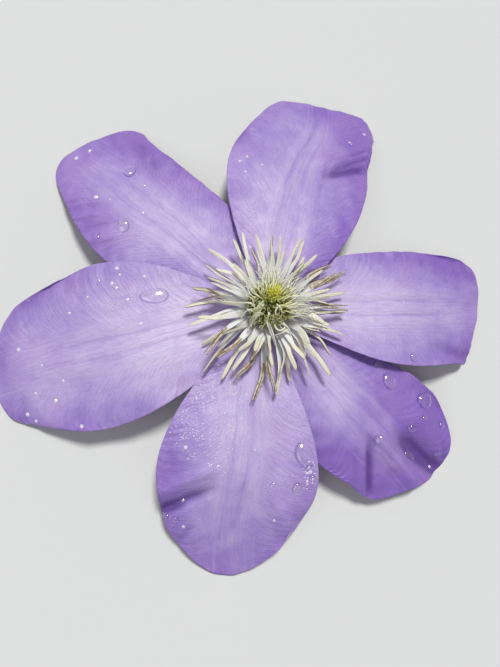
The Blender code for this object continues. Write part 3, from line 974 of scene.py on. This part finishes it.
def carpel_rings(count, draw):
    """Slim upright carpels: girth = 0.12 + 0.36 sin(pi t)^0.8, standing close together round the dome."""
    direction = dome_direction(count)
    lean = unit(direction + np.array([0.10, 0.15, 1.0]) + draw.normal(0, 0.12, (count, 3)))
    t = np.linspace(0, 1, CARPEL_ROWS)
    length = draw.uniform(2.5, 3.5, count)[:, None, None]
    paths = dome_point(direction, CARPEL_SWELL)[:, None] + lean[:, None] * t[:, None] * length
    girth = 0.12 + 0.36 * np.sin(np.pi * np.clip(t * 1.03, 0, 1)) ** 0.8
    girth = np.broadcast_to(girth, (count, CARPEL_ROWS))
    return tube_rings(paths, girth, girth * 0.75, np.zeros(girth.shape), CARPEL_AROUND)


def hair_rings(count, draw):
    """Silky hairs on the carpels: short threads that lean up and outwards, thinner than 0.1 mm."""
    direction = dome_direction(count, 1.25)
    lean = unit(direction + 0.9 * UP + draw.normal(0, 0.35, (count, 3)))
    t = np.linspace(0, 1, HAIR_ROWS)
    length = draw.uniform(1.0, 2.0, count)[:, None, None]
    paths = dome_point(direction, HAIR_SWELL)[:, None] + lean[:, None] * t[:, None] * length
    paths = paths + (direction * 0.5)[:, None] * (t**2)[:, None]
    return round_rings(paths, HAIR_GIRTH * (1 - 0.7 * t), HAIR_AROUND)


# %% [markdown]
# ### The styles
#
# A style is a thread along a Bezier curve: it leaves the dome along the dome's normal, bends
# over a middle point, and ends at a given heading, distance and height. A slow sideways wave
# makes it curl. The tuft, the spreading crown and the few long hanging ones differ only in
# where their curves end.

# %% Threads for the styles
STYLE_ROWS = 14
THREAD_AROUND = 5
FOOT_SWELL, SIDE_SWELL = 0.96, 0.97


def waved(paths, size, draw):
    """Paths with a slow sideways and upward wave that grows towards the tip."""
    count, rows = paths.shape[:2]
    t = np.linspace(0, 1, rows)
    wave, rise = (np.sin(draw.uniform(4, 9, (count, 1)) * t + draw.uniform(0, 6, (count, 1))) * share * t
                  for share in (size, 0.6 * size))
    return paths + wave[..., None] * sideways(paths)[:, None] + rise[..., None] * UP


def thread_rings(paths, girth):
    """Round threads that taper to two fifths of their girth."""
    return round_rings(paths, girth * (1 - 0.6 * np.linspace(0, 1, paths.shape[1])), THREAD_AROUND)


# %% Paths of the tuft, the crown and the side
TUFT_TOP = np.array([-0.4, 2.1, 27.4]) + FLOWER_AXIS
TUFT_LEAN = np.array([0.06, 0.44, 1.0])
TUFT_SPREAD = 3.1


def tuft_paths(count, draw):
    """Upright styles from the top of the dome to a small disc, where their tips spread a little."""
    turn = GOLDEN_TURN * np.arange(count)
    round_way = np.stack([np.cos(turn), np.sin(turn), np.zeros(count)], -1)
    off_centre = 0.30 * np.sqrt(np.arange(count) / count)
    foot = dome_point(unit(round_way * off_centre[:, None] + TUFT_LEAN), FOOT_SWELL)
    spread = TUFT_SPREAD * np.sqrt((np.arange(count) + 0.5) / count) + draw.normal(0, 0.12, count)
    sink = draw.normal(-0.15, 0.4, count) - 0.34 * spread**2
    end = TUFT_TOP + round_way * spread[:, None] + UP * sink[:, None]
    middle = 0.35 * foot + 0.65 * TUFT_TOP + (end - TUFT_TOP) * 0.35
    return waved(curves([foot, middle, end], STYLE_ROWS), 0.12, draw)


def crown_paths(headings, reach, end_height, draw):
    """Spreading styles: up from the dome, over a bend, then out to a reach and height at each heading."""
    count = len(headings)
    tilt = np.radians(draw.uniform(18, 62, count))
    direction = sphere_direction(tilt, np.radians(headings + draw.normal(0, 12, count)))
    foot = dome_point(direction, FOOT_SWELL)
    end = polar(headings, reach, 0.0) + UP * end_height[:, None]
    middle = foot + direction * 1.8 + UP * draw.uniform(1.2, 3.2, count)[:, None]
    shoulder = 0.45 * middle + 0.55 * end + UP * draw.uniform(0.3, 1.4, count)[:, None]
    return waved(curves([foot, middle, shoulder, end], STYLE_ROWS), 0.55, draw)


def side_paths(count, draw):
    """Upright styles: from the dome's side straight up past its shoulder, their tips leaning outwards."""
    direction = dome_direction(count, 1.15)
    flat = direction * np.array([1.0, 1.0, 0.0])
    steep = np.linalg.norm(flat, axis=-1, keepdims=True)
    rise = draw.uniform(2.4, 4.2, (count, 1)) * (0.5 + 0.5 * steep) * UP
    foot = dome_point(direction, SIDE_SWELL)
    end = foot + rise + flat * draw.uniform(-0.9, 1.1, (count, 1)) + draw.normal(0, 0.35, (count, 3))
    return waved(curves([foot, foot + 0.6 * rise + 0.4 * flat, end], STYLE_ROWS), 0.22, draw)


# %% Draw the crown: ranges of heading (degrees), reach and end height (mm) for its far and left parts
CROWN_PARTS = ((96, (-25, 150), (6.0, 11.0), (22.0, 26.5)), (12, (150, 220), (6.5, 9.5), (24.0, 26.5)))
CLUMP_COUNT = 22
SIDE_COUNT = 230
draw_style = np.random.default_rng(21)
crown = crown_paths(*[np.concatenate([draw_style.uniform(*part[column], part[0]) for part in CROWN_PARTS])
                      for column in (1, 2, 3)], draw_style)
clump = crown_paths(*[draw_style.uniform(low, high, CLUMP_COUNT)
                      for low, high in ((-26, 4), (8.0, 12.0), (21.2, 22.6))], draw_style)
side_styles = side_paths(SIDE_COUNT, draw_style)

# %% Wet hairs that cling together on the near left side of the head, and the tuft
WET_FOOT = np.array([-4.9, -5.0, 22.6]) + FLOWER_AXIS
WET_END = np.array([-3.4, -1.2, 26.2]) + FLOWER_AXIS
WET_BOW = np.array([-0.9, -0.6, 1.0])
WET_COUNT = 26
TUFT_COUNT = 150
wet_foot = WET_FOOT + draw_style.normal(0, 0.75, (WET_COUNT, 3))
wet_end = WET_END + draw_style.normal(0, 0.35, (WET_COUNT, 3))
wet_middle = 0.5 * (wet_foot + wet_end) + WET_BOW
wet_hairs = waved(curves([wet_foot, wet_middle, wet_end], STYLE_ROWS), 0.18, draw_style)
tuft = tuft_paths(TUFT_COUNT, draw_style)

# %% The long hanging styles, each through its own points: (right, up, height) from the flower's axis
HANGING_STYLES = (
    ((-3.3, -3.6, 24.8), (-4.9, -4.3, 25.2), (-5.9, -6.3, 22.5), (-6.5, -7.3, 21.0)),
    ((-1.7, -3.3, 24.8), (-1.5, -4.4, 25.0), (-2.4, -6.0, 22.6), (-3.1, -7.2, 21.0)),
    ((-2.0, -4.9, 23.6), (-1.8, -6.7, 23.6), (0.0, -8.4, 21.0), (1.0, -11.1, 20.0)),
    ((-1.5, -5.3, 23.4), (-0.7, -7.1, 23.4), (0.5, -8.9, 21.0), (1.2, -11.4, 20.2)),
    ((0.4, -4.4, 23.2), (-0.9, -7.5, 23.0), (2.1, -9.9, 22.2), (5.7, -6.4, 22.4), (3.1, -2.4, 22.6),
     (-0.5, -5.8, 22.2), (2.9, -7.2, 22.0)),
    ((1.4, -5.1, 23.0), (2.6, -6.3, 23.6), (5.3, -6.4, 22.0), (4.8, -8.8, 20.8), (4.7, -11.0, 19.8)),
    ((4.0, -6.9, 22.0), (2.3, -7.9, 22.6), (0.5, -8.4, 21.0)),
    ((0.2, -1.4, 25.6), (1.6, -2.5, 26.0), (2.2, -3.9, 24.4), (1.1, -5.0, 23.4)),
    ((0.4, -2.1, 25.4), (-0.6, -3.4, 25.4), (0.8, -4.8, 23.6)),
    ((-5.3, -1.7, 25.0), (-7.2, -0.8, 26.0), (-7.9, -1.3, 24.0), (-9.1, -0.7, 23.4)),
    ((-5.5, -2.9, 24.4), (-7.1, -2.6, 25.4), (-7.8, -3.2, 23.4), (-8.2, -4.7, 22.0)),
)
HANGING_ROWS = 26
HANGING_LIFT = 0.7


def hanging_path(points):
    """A Bezier curve over a row of control points, moved to the flower's axis and lifted off the carpels."""
    return curves([np.array([point]) + FLOWER_AXIS + HANGING_LIFT * UP for point in points], HANGING_ROWS)


hanging = np.concatenate([hanging_path(points) for points in HANGING_STYLES])

# %% Materials of the head


def carpel_material():
    """Olive green, yellower towards the top; the darker, browner colour deep down is painted shade between
    the carpels.
    """
    material, tree, shader = new_material("carpel_green", 0.5)
    mottle, grain = tissue(tree, 700.0)
    paint(
        tree, shader, rgb(122, 130, 42),
        (map_range(tree, mottle, 0.35, 0.65), rgb(170, 174, 84)),
        # Painted shade deep down on the head.
        (map_range(tree, value_of(tree, "low"), 0.1, 0.8), rgb(82, 90, 32)))
    raise_grain(tree, shader, grain, 0.4, 0.2)
    return material


def style_material():
    """Silky threads: yellow-green in the tuft, silvery white outwards, olive at the upright ones' feet."""
    material, tree, shader = new_material("style_silk", 0.36)
    mottle, _ = tissue(tree, 800.0)
    paint(
        tree, shader, rgb(234, 236, 56),
        (value_of(tree, "white"), rgb(242, 244, 222)),
        (value_of(tree, "olive"), rgb(126, 134, 44)),
        (map_range(tree, mottle, 0.45, 0.7, 0.0, 0.30), rgb(200, 206, 150)))
    return material


CARPEL_FINISH = carpel_material()
STYLE_FINISH = style_material()

# %% Build the core and the carpels
CARPEL_COUNT = 110
HAIR_COUNT = 260
draw_head = np.random.default_rng(31)


def deep_shade(rings):
    """1 deep down on the head, 0 at its top: where the painted shade between the carpels lies."""
    return ramp(HEAD_MIDDLE[2] + 1.8, HEAD_MIDDLE[2] - 1.6, rings[..., 2])


carpels = carpel_rings(CARPEL_COUNT, draw_head)
# The core takes the deep-down colour all over: painted shade under the carpels.
add_tubes("carpel_core", core_rings(), CARPEL_FINISH, "carpel", {"low": 1.0}, ["carpel_head"])
add_tubes("carpels", carpels, CARPEL_FINISH, "carpel", {"low": deep_shade(carpels)})

# %% Build the hairs and the styles: how white and how olive each is at its foot and at its tip
THREADS = (
    ("carpel_hairs", hair_rings(HAIR_COUNT, draw_head), {"white": (0.85, 0.85)}),
    ("styles_tuft", thread_rings(tuft, 0.24), {"white": (0.25, 0.0)}),
    ("styles_side", thread_rings(side_styles, 0.22), {"white": (0.05, 0.70), "olive": (1.30, 0.10)}),
    ("styles_crown", thread_rings(np.concatenate([crown, clump]), 0.17), {"white": (0.25, 1.5)}),
    ("wet_hairs", thread_rings(wet_hairs, 0.20), {"white": (0.9, 0.9), "olive": (0.25, 0.25)}),
    ("styles_hanging", thread_rings(hanging, 0.30), {"white": (1.0, 1.0)}),
)
for thread_name, rings, tints in THREADS:
    tints = {label: np.linspace(*ends, rings.shape[1]).clip(0, 1)[:, None] for label, ends in tints.items()}
    add_tubes(thread_name, rings, STYLE_FINISH, "carpel", tints)

# %% [markdown]
# ## The stalk
#
# The flower stalk swells into the receptacle that holds every other piece. Below it, it
# bends and lies along the surface to its cut end. It is a tube like the others, but with
# eight shallow ribs: the radius dips between them by a cosine of the angle round the tube.

# %% Stalk path and material (mm); the receptacle is given by height and radius
STALK_HEADING = 72.0
STALK_RADIUS = 1.2
STALK_NECK = 1.8
STALK_LENGTH = 44.0
STALK_BEND = 7.5
BEND_ROWS, RUN_ROWS = 16, 39
STALK_AROUND = 48
STALK_RIBS = 8
STALK_RIB_DEPTH = 0.14
RECEPTACLE = np.array([
    (17.9, 0.9), (17.7, 2.1), (17.2, 3.2), (16.6, 3.3), (11.8, 3.3), (11.0, 3.0), (10.2, 2.3)])


def stalk_path():
    """Distance out, height and radius along the stalk: receptacle, quarter turn, straight run and cut."""
    neck = np.insert(RECEPTACLE, 0, 0.0, axis=1)
    angle = np.linspace(0, np.pi / 2, BEND_ROWS)
    bend = np.stack([STALK_BEND * (1 - np.cos(angle)), STALK_RADIUS + STALK_BEND * (1 - np.sin(angle)),
                     np.linspace(STALK_NECK, STALK_RADIUS, BEND_ROWS)], -1)
    run = np.linspace(STALK_BEND, STALK_LENGTH, RUN_ROWS + 1)[1:]
    lie = np.stack([run, np.full(RUN_ROWS, STALK_RADIUS), np.full(RUN_ROWS, STALK_RADIUS)], -1)
    cut = [(STALK_LENGTH + 0.04, STALK_RADIUS, 0.92 * STALK_RADIUS)]
    return np.concatenate([neck, bend, lie, cut])


def stalk_material():
    """Green with a purple flush along its ribs, and pale moist pith at the cut."""
    material, tree, shader = new_material("stalk_green", 0.5)
    mottle, grain = tissue(tree, 180.0)
    paint(
        tree, shader, rgb(112, 138, 66),
        (map_range(tree, mottle, 0.35, 0.7), rgb(120, 96, 74)),
        (times(tree, value_of(tree, "ridge"), 0.55), rgb(128, 92, 92)),
        (value_of(tree, "cut"), rgb(204, 212, 164)))
    raise_grain(tree, shader, grain, 0.4, 0.2)
    return material


# %% Build the stalk
stalk_line = stalk_path()
stalk_row = np.arange(len(stalk_line))
stalk_paths = polar(np.full(len(stalk_line), STALK_HEADING), stalk_line[:, 0], stalk_line[:, 1])[None]
stalk_rings = round_rings(stalk_paths, stalk_line[:, 2], STALK_AROUND)
ridge = np.cos(STALK_RIBS * round_angles(STALK_AROUND)) * 0.5 + 0.5
ribbed = ramp(8, 14, stalk_row)[:, None]
inward = stalk_paths[:, :, None] - stalk_rings
stalk_rings = stalk_rings + inward * (STALK_RIB_DEPTH * (1 - ridge) * ribbed)[..., None]
add_tubes("flower_stalk", stalk_rings, stalk_material(), "stalk",
          {"ridge": ridge * ribbed, "cut": (stalk_row == stalk_row[-1])[:, None]}, ["stalk_receptacle"])

# %% [markdown]
# ## Water on the sepals
#
# The flower has been rained on. A drop on a waxy sepal is a low cap of water: a circle, a
# little out of round, that bulges to a little under half its radius. Each drop sits at a
# place given in the blade's own two parameters, with its axis along the blade's normal, and
# it reaches a hair's breadth into the blade so that no air is trapped under it.

# %% Where the drops lie: along the blade (0 to 1), across it (-1 to 1), radius (mm), stretch if not round
DROPS = {
    "sepal_top": (
        (0.79, -0.68, 0.75), (0.80, -0.66, 0.45), (0.59, 0.85, 0.50), (0.61, 0.77, 0.45), (0.56, 0.56, 0.40),
        (0.53, 0.77, 0.40), (0.91, -0.85, 0.55), (0.19, 0.83, 0.40)),
    "sepal_upper_left": (
        (0.76, -0.29, 2.05), (0.58, 0.48, 2.00), (0.61, 0.50, 0.80), (0.66, 0.83, 0.90), (0.95, 0.13, 0.70),
        (0.95, -0.14, 0.60), (0.75, 0.41, 0.65), (0.56, 0.13, 0.45), (0.70, 0.30, 0.30), (0.66, -0.25, 0.28)),
    "sepal_left": (
        (0.37, -0.57, 2.30, 1.55), (0.54, -0.92, 0.55), (0.52, -0.84, 0.38), (0.54, -0.74, 0.55),
        (0.52, -0.68, 0.48), (0.42, -0.83, 0.45), (0.47, -0.52, 0.42), (0.43, -0.18, 0.45),
        (0.70, -0.49, 0.42), (0.93, -0.89, 0.75), (0.90, -0.25, 0.60), (0.74, 0.30, 0.48), (0.79, 0.53, 0.60),
        (0.85, 0.38, 0.42), (0.92, 0.69, 0.60), (0.91, 0.80, 0.50), (0.76, 0.92, 0.60), (0.81, 0.03, 0.35),
        (0.63, -0.62, 0.35), (0.60, -0.80, 0.30)),
    "sepal_right": ((0.96, 0.74, 0.80), (0.63, -0.85, 1.30), (0.55, 0.10, 0.30), (0.40, -0.30, 0.28)),
    "sepal_lower_right": (
        (0.58, 0.80, 2.40), (0.81, 0.86, 2.50), (0.75, 0.42, 1.25), (0.70, -0.12, 1.65), (0.79, 0.67, 0.85),
        (0.93, 0.78, 1.10), (0.84, 0.15, 2.10), (0.93, 0.47, 0.95), (0.53, 0.93, 1.30), (0.97, 0.30, 0.50)),
    "sepal_bottom": (
        (0.55, 0.84, 2.50, 1.45), (0.68, 0.76, 1.70), (0.62, 0.68, 0.75), (0.64, 0.45, 1.05),
        (0.66, 0.93, 0.95), (0.63, 0.90, 0.60), (0.63, -0.65, 0.75), (0.80, -0.61, 0.45), (0.90, -0.58, 0.45),
        (0.90, -0.70, 0.80), (0.93, -0.85, 0.95), (0.79, 0.54, 0.40), (0.60, -0.72, 0.55),
        (0.50, 0.15, 0.30)),
}
BIG_DROP = 0.7

# %% Fine droplets on the lower sepal: how many, and the ranges of their place and radius
SPRAY_PARTS = ((640, (0.20, 0.62), (-0.97, -0.12), (0.08, 0.22)),
               (26, (0.58, 0.70), (0.80, 0.97), (0.16, 0.34)))
draw_spray = np.random.default_rng(77)
SPRAY = np.concatenate([np.stack([draw_spray.uniform(low, high, count) for low, high in ranges], -1)
                        for count, *ranges in SPRAY_PARTS])

# %% Caps of water
CAP_HEIGHT = 0.46
CAP_SINK = 0.2
CAP_TOP_ANGLE = 0.12


def cap_angles(rings):
    """Angles of a cap's rings from its foot, which is counted twice, to its top."""
    return np.concatenate([[np.pi / 2], np.linspace(np.pi / 2, CAP_TOP_ANGLE, rings)])


def cap_rings(blade, spots, draw, rings, around):
    """Drops as rings: radius sin(a), height 0.46 cos(a)^0.9 above the blade, a little out of round.

    The first ring is the foot once more, sunk into the blade.
    """
    rows, columns = blade.shape[:2]
    u, v, radius, stretch = np.array([(*spot, 1.0)[:4] for spot in spots]).T
    row = np.rint(u * (rows - 1)).astype(int)
    column = np.rint((v + 1) / 2 * (columns - 1)).astype(int)
    over = sheet_normals(blade)[row, column]
    middle = blade[row, column] + over * BLADE_THICKNESS * 0.32
    across = unit(np.cross(over, unit(np.gradient(blade, axis=0))[row, column]))
    along = np.cross(across, over) * stretch[:, None]
    turn = -round_angles(around)
    uneven = 1 + draw.uniform(0.02, 0.12, (len(u), 1)) * np.cos(2 * turn + draw.uniform(0, 6, (len(u), 1)))
    uneven = uneven + 0.04 * np.cos(3 * turn + draw.uniform(0, 6, (len(u), 1)))
    angle = cap_angles(rings)
    rise = np.cos(angle) ** 0.9 * CAP_HEIGHT
    rise[0] = -CAP_SINK
    flat = np.cos(turn)[None, :, None] * across[:, None] + np.sin(turn)[None, :, None] * along[:, None]
    flat = flat * (uneven * radius[:, None])[..., None]
    return (middle[:, None, None] + np.sin(angle)[None, :, None, None] * flat[:, None]
            + (rise[None, :] * radius[:, None])[..., None, None] * over[:, None, None])


# %% Water


def water_material(name, transmission, rim_shade_color):
    """Water with a bright coat. At the foot of a drop its colour is darkened as painted shade, standing for
    the light that the steep side bends away.
    """
    material, tree, shader = new_material(name, 0.03, IOR=1.33, Transmission_Weight=transmission,
                                          Coat_Weight=1.0, Coat_Roughness=0.11, Coat_IOR=2.0)
    paint(tree, shader, (1.0, 1.0, 1.0, 1.0), (value_of(tree, "rim"), rim_shade_color))
    return material


# The rim colours are painted shade at the foot of each drop.
WATER = water_material("water", 1.0, rgb(160, 138, 192))
# The fine water is mostly diffuse white: painted highlight, so that droplets too small to catch the lamp
# still read as glints.
WHITE_GLINT_WATER = water_material("water_fine_painted_glint", 0.30, rgb(236, 232, 244))


def add_water(name, rings, finish):
    """A piece of water drops that throw no shadow, since clear water passes the light on."""
    # Painted shade at the foot of each drop, in its rim colour.
    foot = ramp(0.80, 0.98, np.sin(cap_angles(rings.shape[1] - 1)))
    piece = add_tubes(name, rings, finish, "water", {"rim": foot[:, None]})
    piece.visible_shadow = False
    piece.visible_diffuse = False


# %% Build the drops: finish, radii (more than, up to), rings and points round each
# The small droplets take the white finish: painted highlight.
DROP_SIZES = {"water_drops": (WATER, BIG_DROP, 9.0, 12, 32),
              "water_droplets": (WHITE_GLINT_WATER, 0.0, BIG_DROP, 4, 10)}
SPRAY_RINGS, SPRAY_AROUND = 3, 8
draw_drop = np.random.default_rng(3)
for water_name, (finish, smallest, largest, rings, around) in DROP_SIZES.items():
    caps = [cap_rings(BLADES[name], [spot for spot in spots if smallest < spot[2] <= largest],
                      draw_drop, rings, around) for name, spots in DROPS.items()]
    add_water(water_name, np.concatenate(caps), finish)
spray = cap_rings(BLADES["sepal_bottom"], SPRAY, draw_drop, SPRAY_RINGS, SPRAY_AROUND)
# The spray takes the white finish: painted highlight.
add_water("water_spray", spray, WHITE_GLINT_WATER)

# %% Beads of water on the stamens: most on the far right side of the ring
BEAD_COUNT = 46
BEAD_ROWS, BEAD_AROUND = 5, 8
FIRST_BEAD_ROW = 11


def bead_rings(middles, radii):
    """Round beads: tubes that run upwards through each middle, r sin(a) wide at the height -r cos(a)."""
    tilt = np.linspace(0.2, np.pi - 0.2, BEAD_ROWS)
    rise = -np.cos(tilt)[None, :, None] * radii[:, None, None] * UP
    return round_rings(middles[:, None] + rise, np.sin(tilt)[None] * radii[:, None], BEAD_AROUND)


stamen_lines = np.array(STAMEN_LINES)
turns = (np.degrees(np.arctan2(*(stamen_lines[:, -1, 1::-1] - FLOWER_AXIS[1::-1]).T)) + 360) % 360
likely = 0.15 + bump(28, 26, turns) + 0.6 * bump(350, 20, turns)
chosen = draw_drop.choice(len(stamen_lines), BEAD_COUNT, p=likely / likely.sum())
bead_places = stamen_lines[chosen, draw_drop.integers(FIRST_BEAD_ROW, STAMEN_ROWS - 2, BEAD_COUNT)]
bead_radii = draw_drop.uniform(0.16, 0.32, BEAD_COUNT)
bead_places = bead_places + (0.10 + 0.6 * bead_radii)[:, None] * UP
# The beads take the white finish: painted highlight.
add_water("water_beads", bead_rings(bead_places, bead_radii), WHITE_GLINT_WATER)

# %% [markdown]
# ## Stage: floor, light and camera
#
# The flower lies on a plain pale floor. The key light comes from high on the upper side as a
# broad, soft sun, so the floor is lit evenly to its far end. A weaker area lamp and a pale
# violet world fill the shadows, as light does that comes back from so many petals. The
# camera looks down on the flower, leaning over from its lower left side.

# %% Floor
STAGE_HALF = 5000.0
floor_finish, _, _ = new_material("floor_pale", 0.8, Base_Color=rgb(224, 227, 222))
floor_points = np.array([(-1, -1, 0), (1, -1, 0), (1, 1, 0), (-1, 1, 0)]) * STAGE_HALF
floor = add_piece("floor", floor_points, [(0, 1, 2, 3)], floor_finish)

# %% Lamps
LAMP_DISTANCE = 2500.0


def toward(heading, elevation):
    """The unit vector at a heading and an elevation in degrees, seen from the flower."""
    return Vector(sphere_direction(np.radians(90 - elevation), np.radians(heading)).tolist())


def add_lamp(name, kind, heading, elevation, color, **settings):
    """Puts a lamp in the scene at a heading and an elevation in degrees, pointing at the flower."""
    data = bpy.data.lights.new(name, kind)
    data.color = color
    for setting, value in settings.items():
        setattr(data, setting, value)
    lamp = bpy.data.objects.new(name, data)
    lamp.location = toward(heading, elevation) * LAMP_DISTANCE * MM
    lamp.rotation_euler = toward(heading, elevation).to_track_quat("Z", "Y").to_euler()
    bpy.context.scene.collection.objects.link(lamp)


add_lamp("key_lamp", "SUN", 84, 65, (1.0, 0.995, 0.97), energy=2.34, angle=float(np.radians(13)))
add_lamp("fill_lamp", "AREA", 215, 50, (0.97, 0.96, 1.0), energy=7.0, shape="DISK", size=1700 * MM)

# %% World: a violet glow on the flower, and a plain grey behind it
GLOW_COLOR, GLOW_STRENGTH = (0.84, 0.77, 1.0, 1.0), 0.28
BACKDROP_COLOR = (0.74, 0.74, 0.73, 1.0)

world = bpy.data.worlds.new("studio")
world.use_nodes = True
sky = world.node_tree
glow = sky.nodes["Background"]
connect(sky, GLOW_COLOR, glow.inputs["Color"])
connect(sky, GLOW_STRENGTH, glow.inputs["Strength"])
backdrop = node(sky, "ShaderNodeBackground", {"Color": BACKDROP_COLOR})
seen = node(sky, "ShaderNodeLightPath").outputs["Is Camera Ray"]
choose = node(sky, "ShaderNodeMixShader", {"Fac": seen, 1: glow.outputs[0], 2: backdrop.outputs[0]})
connect(sky, choose.outputs["Shader"], sky.nodes["World Output"].inputs["Surface"])
bpy.context.scene.world = world
bpy.context.scene.view_settings.view_transform = "Standard"

# %% Camera
CAMERA_HEADING = 230.0
CAMERA_ELEVATION = 76.0
CAMERA_PLACE = Vector([c * MM for c in (-25.0, -33.6, 149.0)])

camera_data = bpy.data.cameras.new("camera")
camera_data.lens = 28.0
camera_data.sensor_width = 36.0
camera_data.clip_start = 0.01
camera = bpy.data.objects.new("camera", camera_data)
backward = toward(CAMERA_HEADING, CAMERA_ELEVATION)
rightward = Vector((0.0, 1.0, 0.0)).cross(backward).normalized()
turned = Matrix((rightward, backward.cross(rightward), backward)).transposed().to_4x4()
camera.matrix_world = Matrix.Translation(CAMERA_PLACE) @ turned
bpy.context.scene.collection.objects.link(camera)
bpy.context.scene.camera = camera
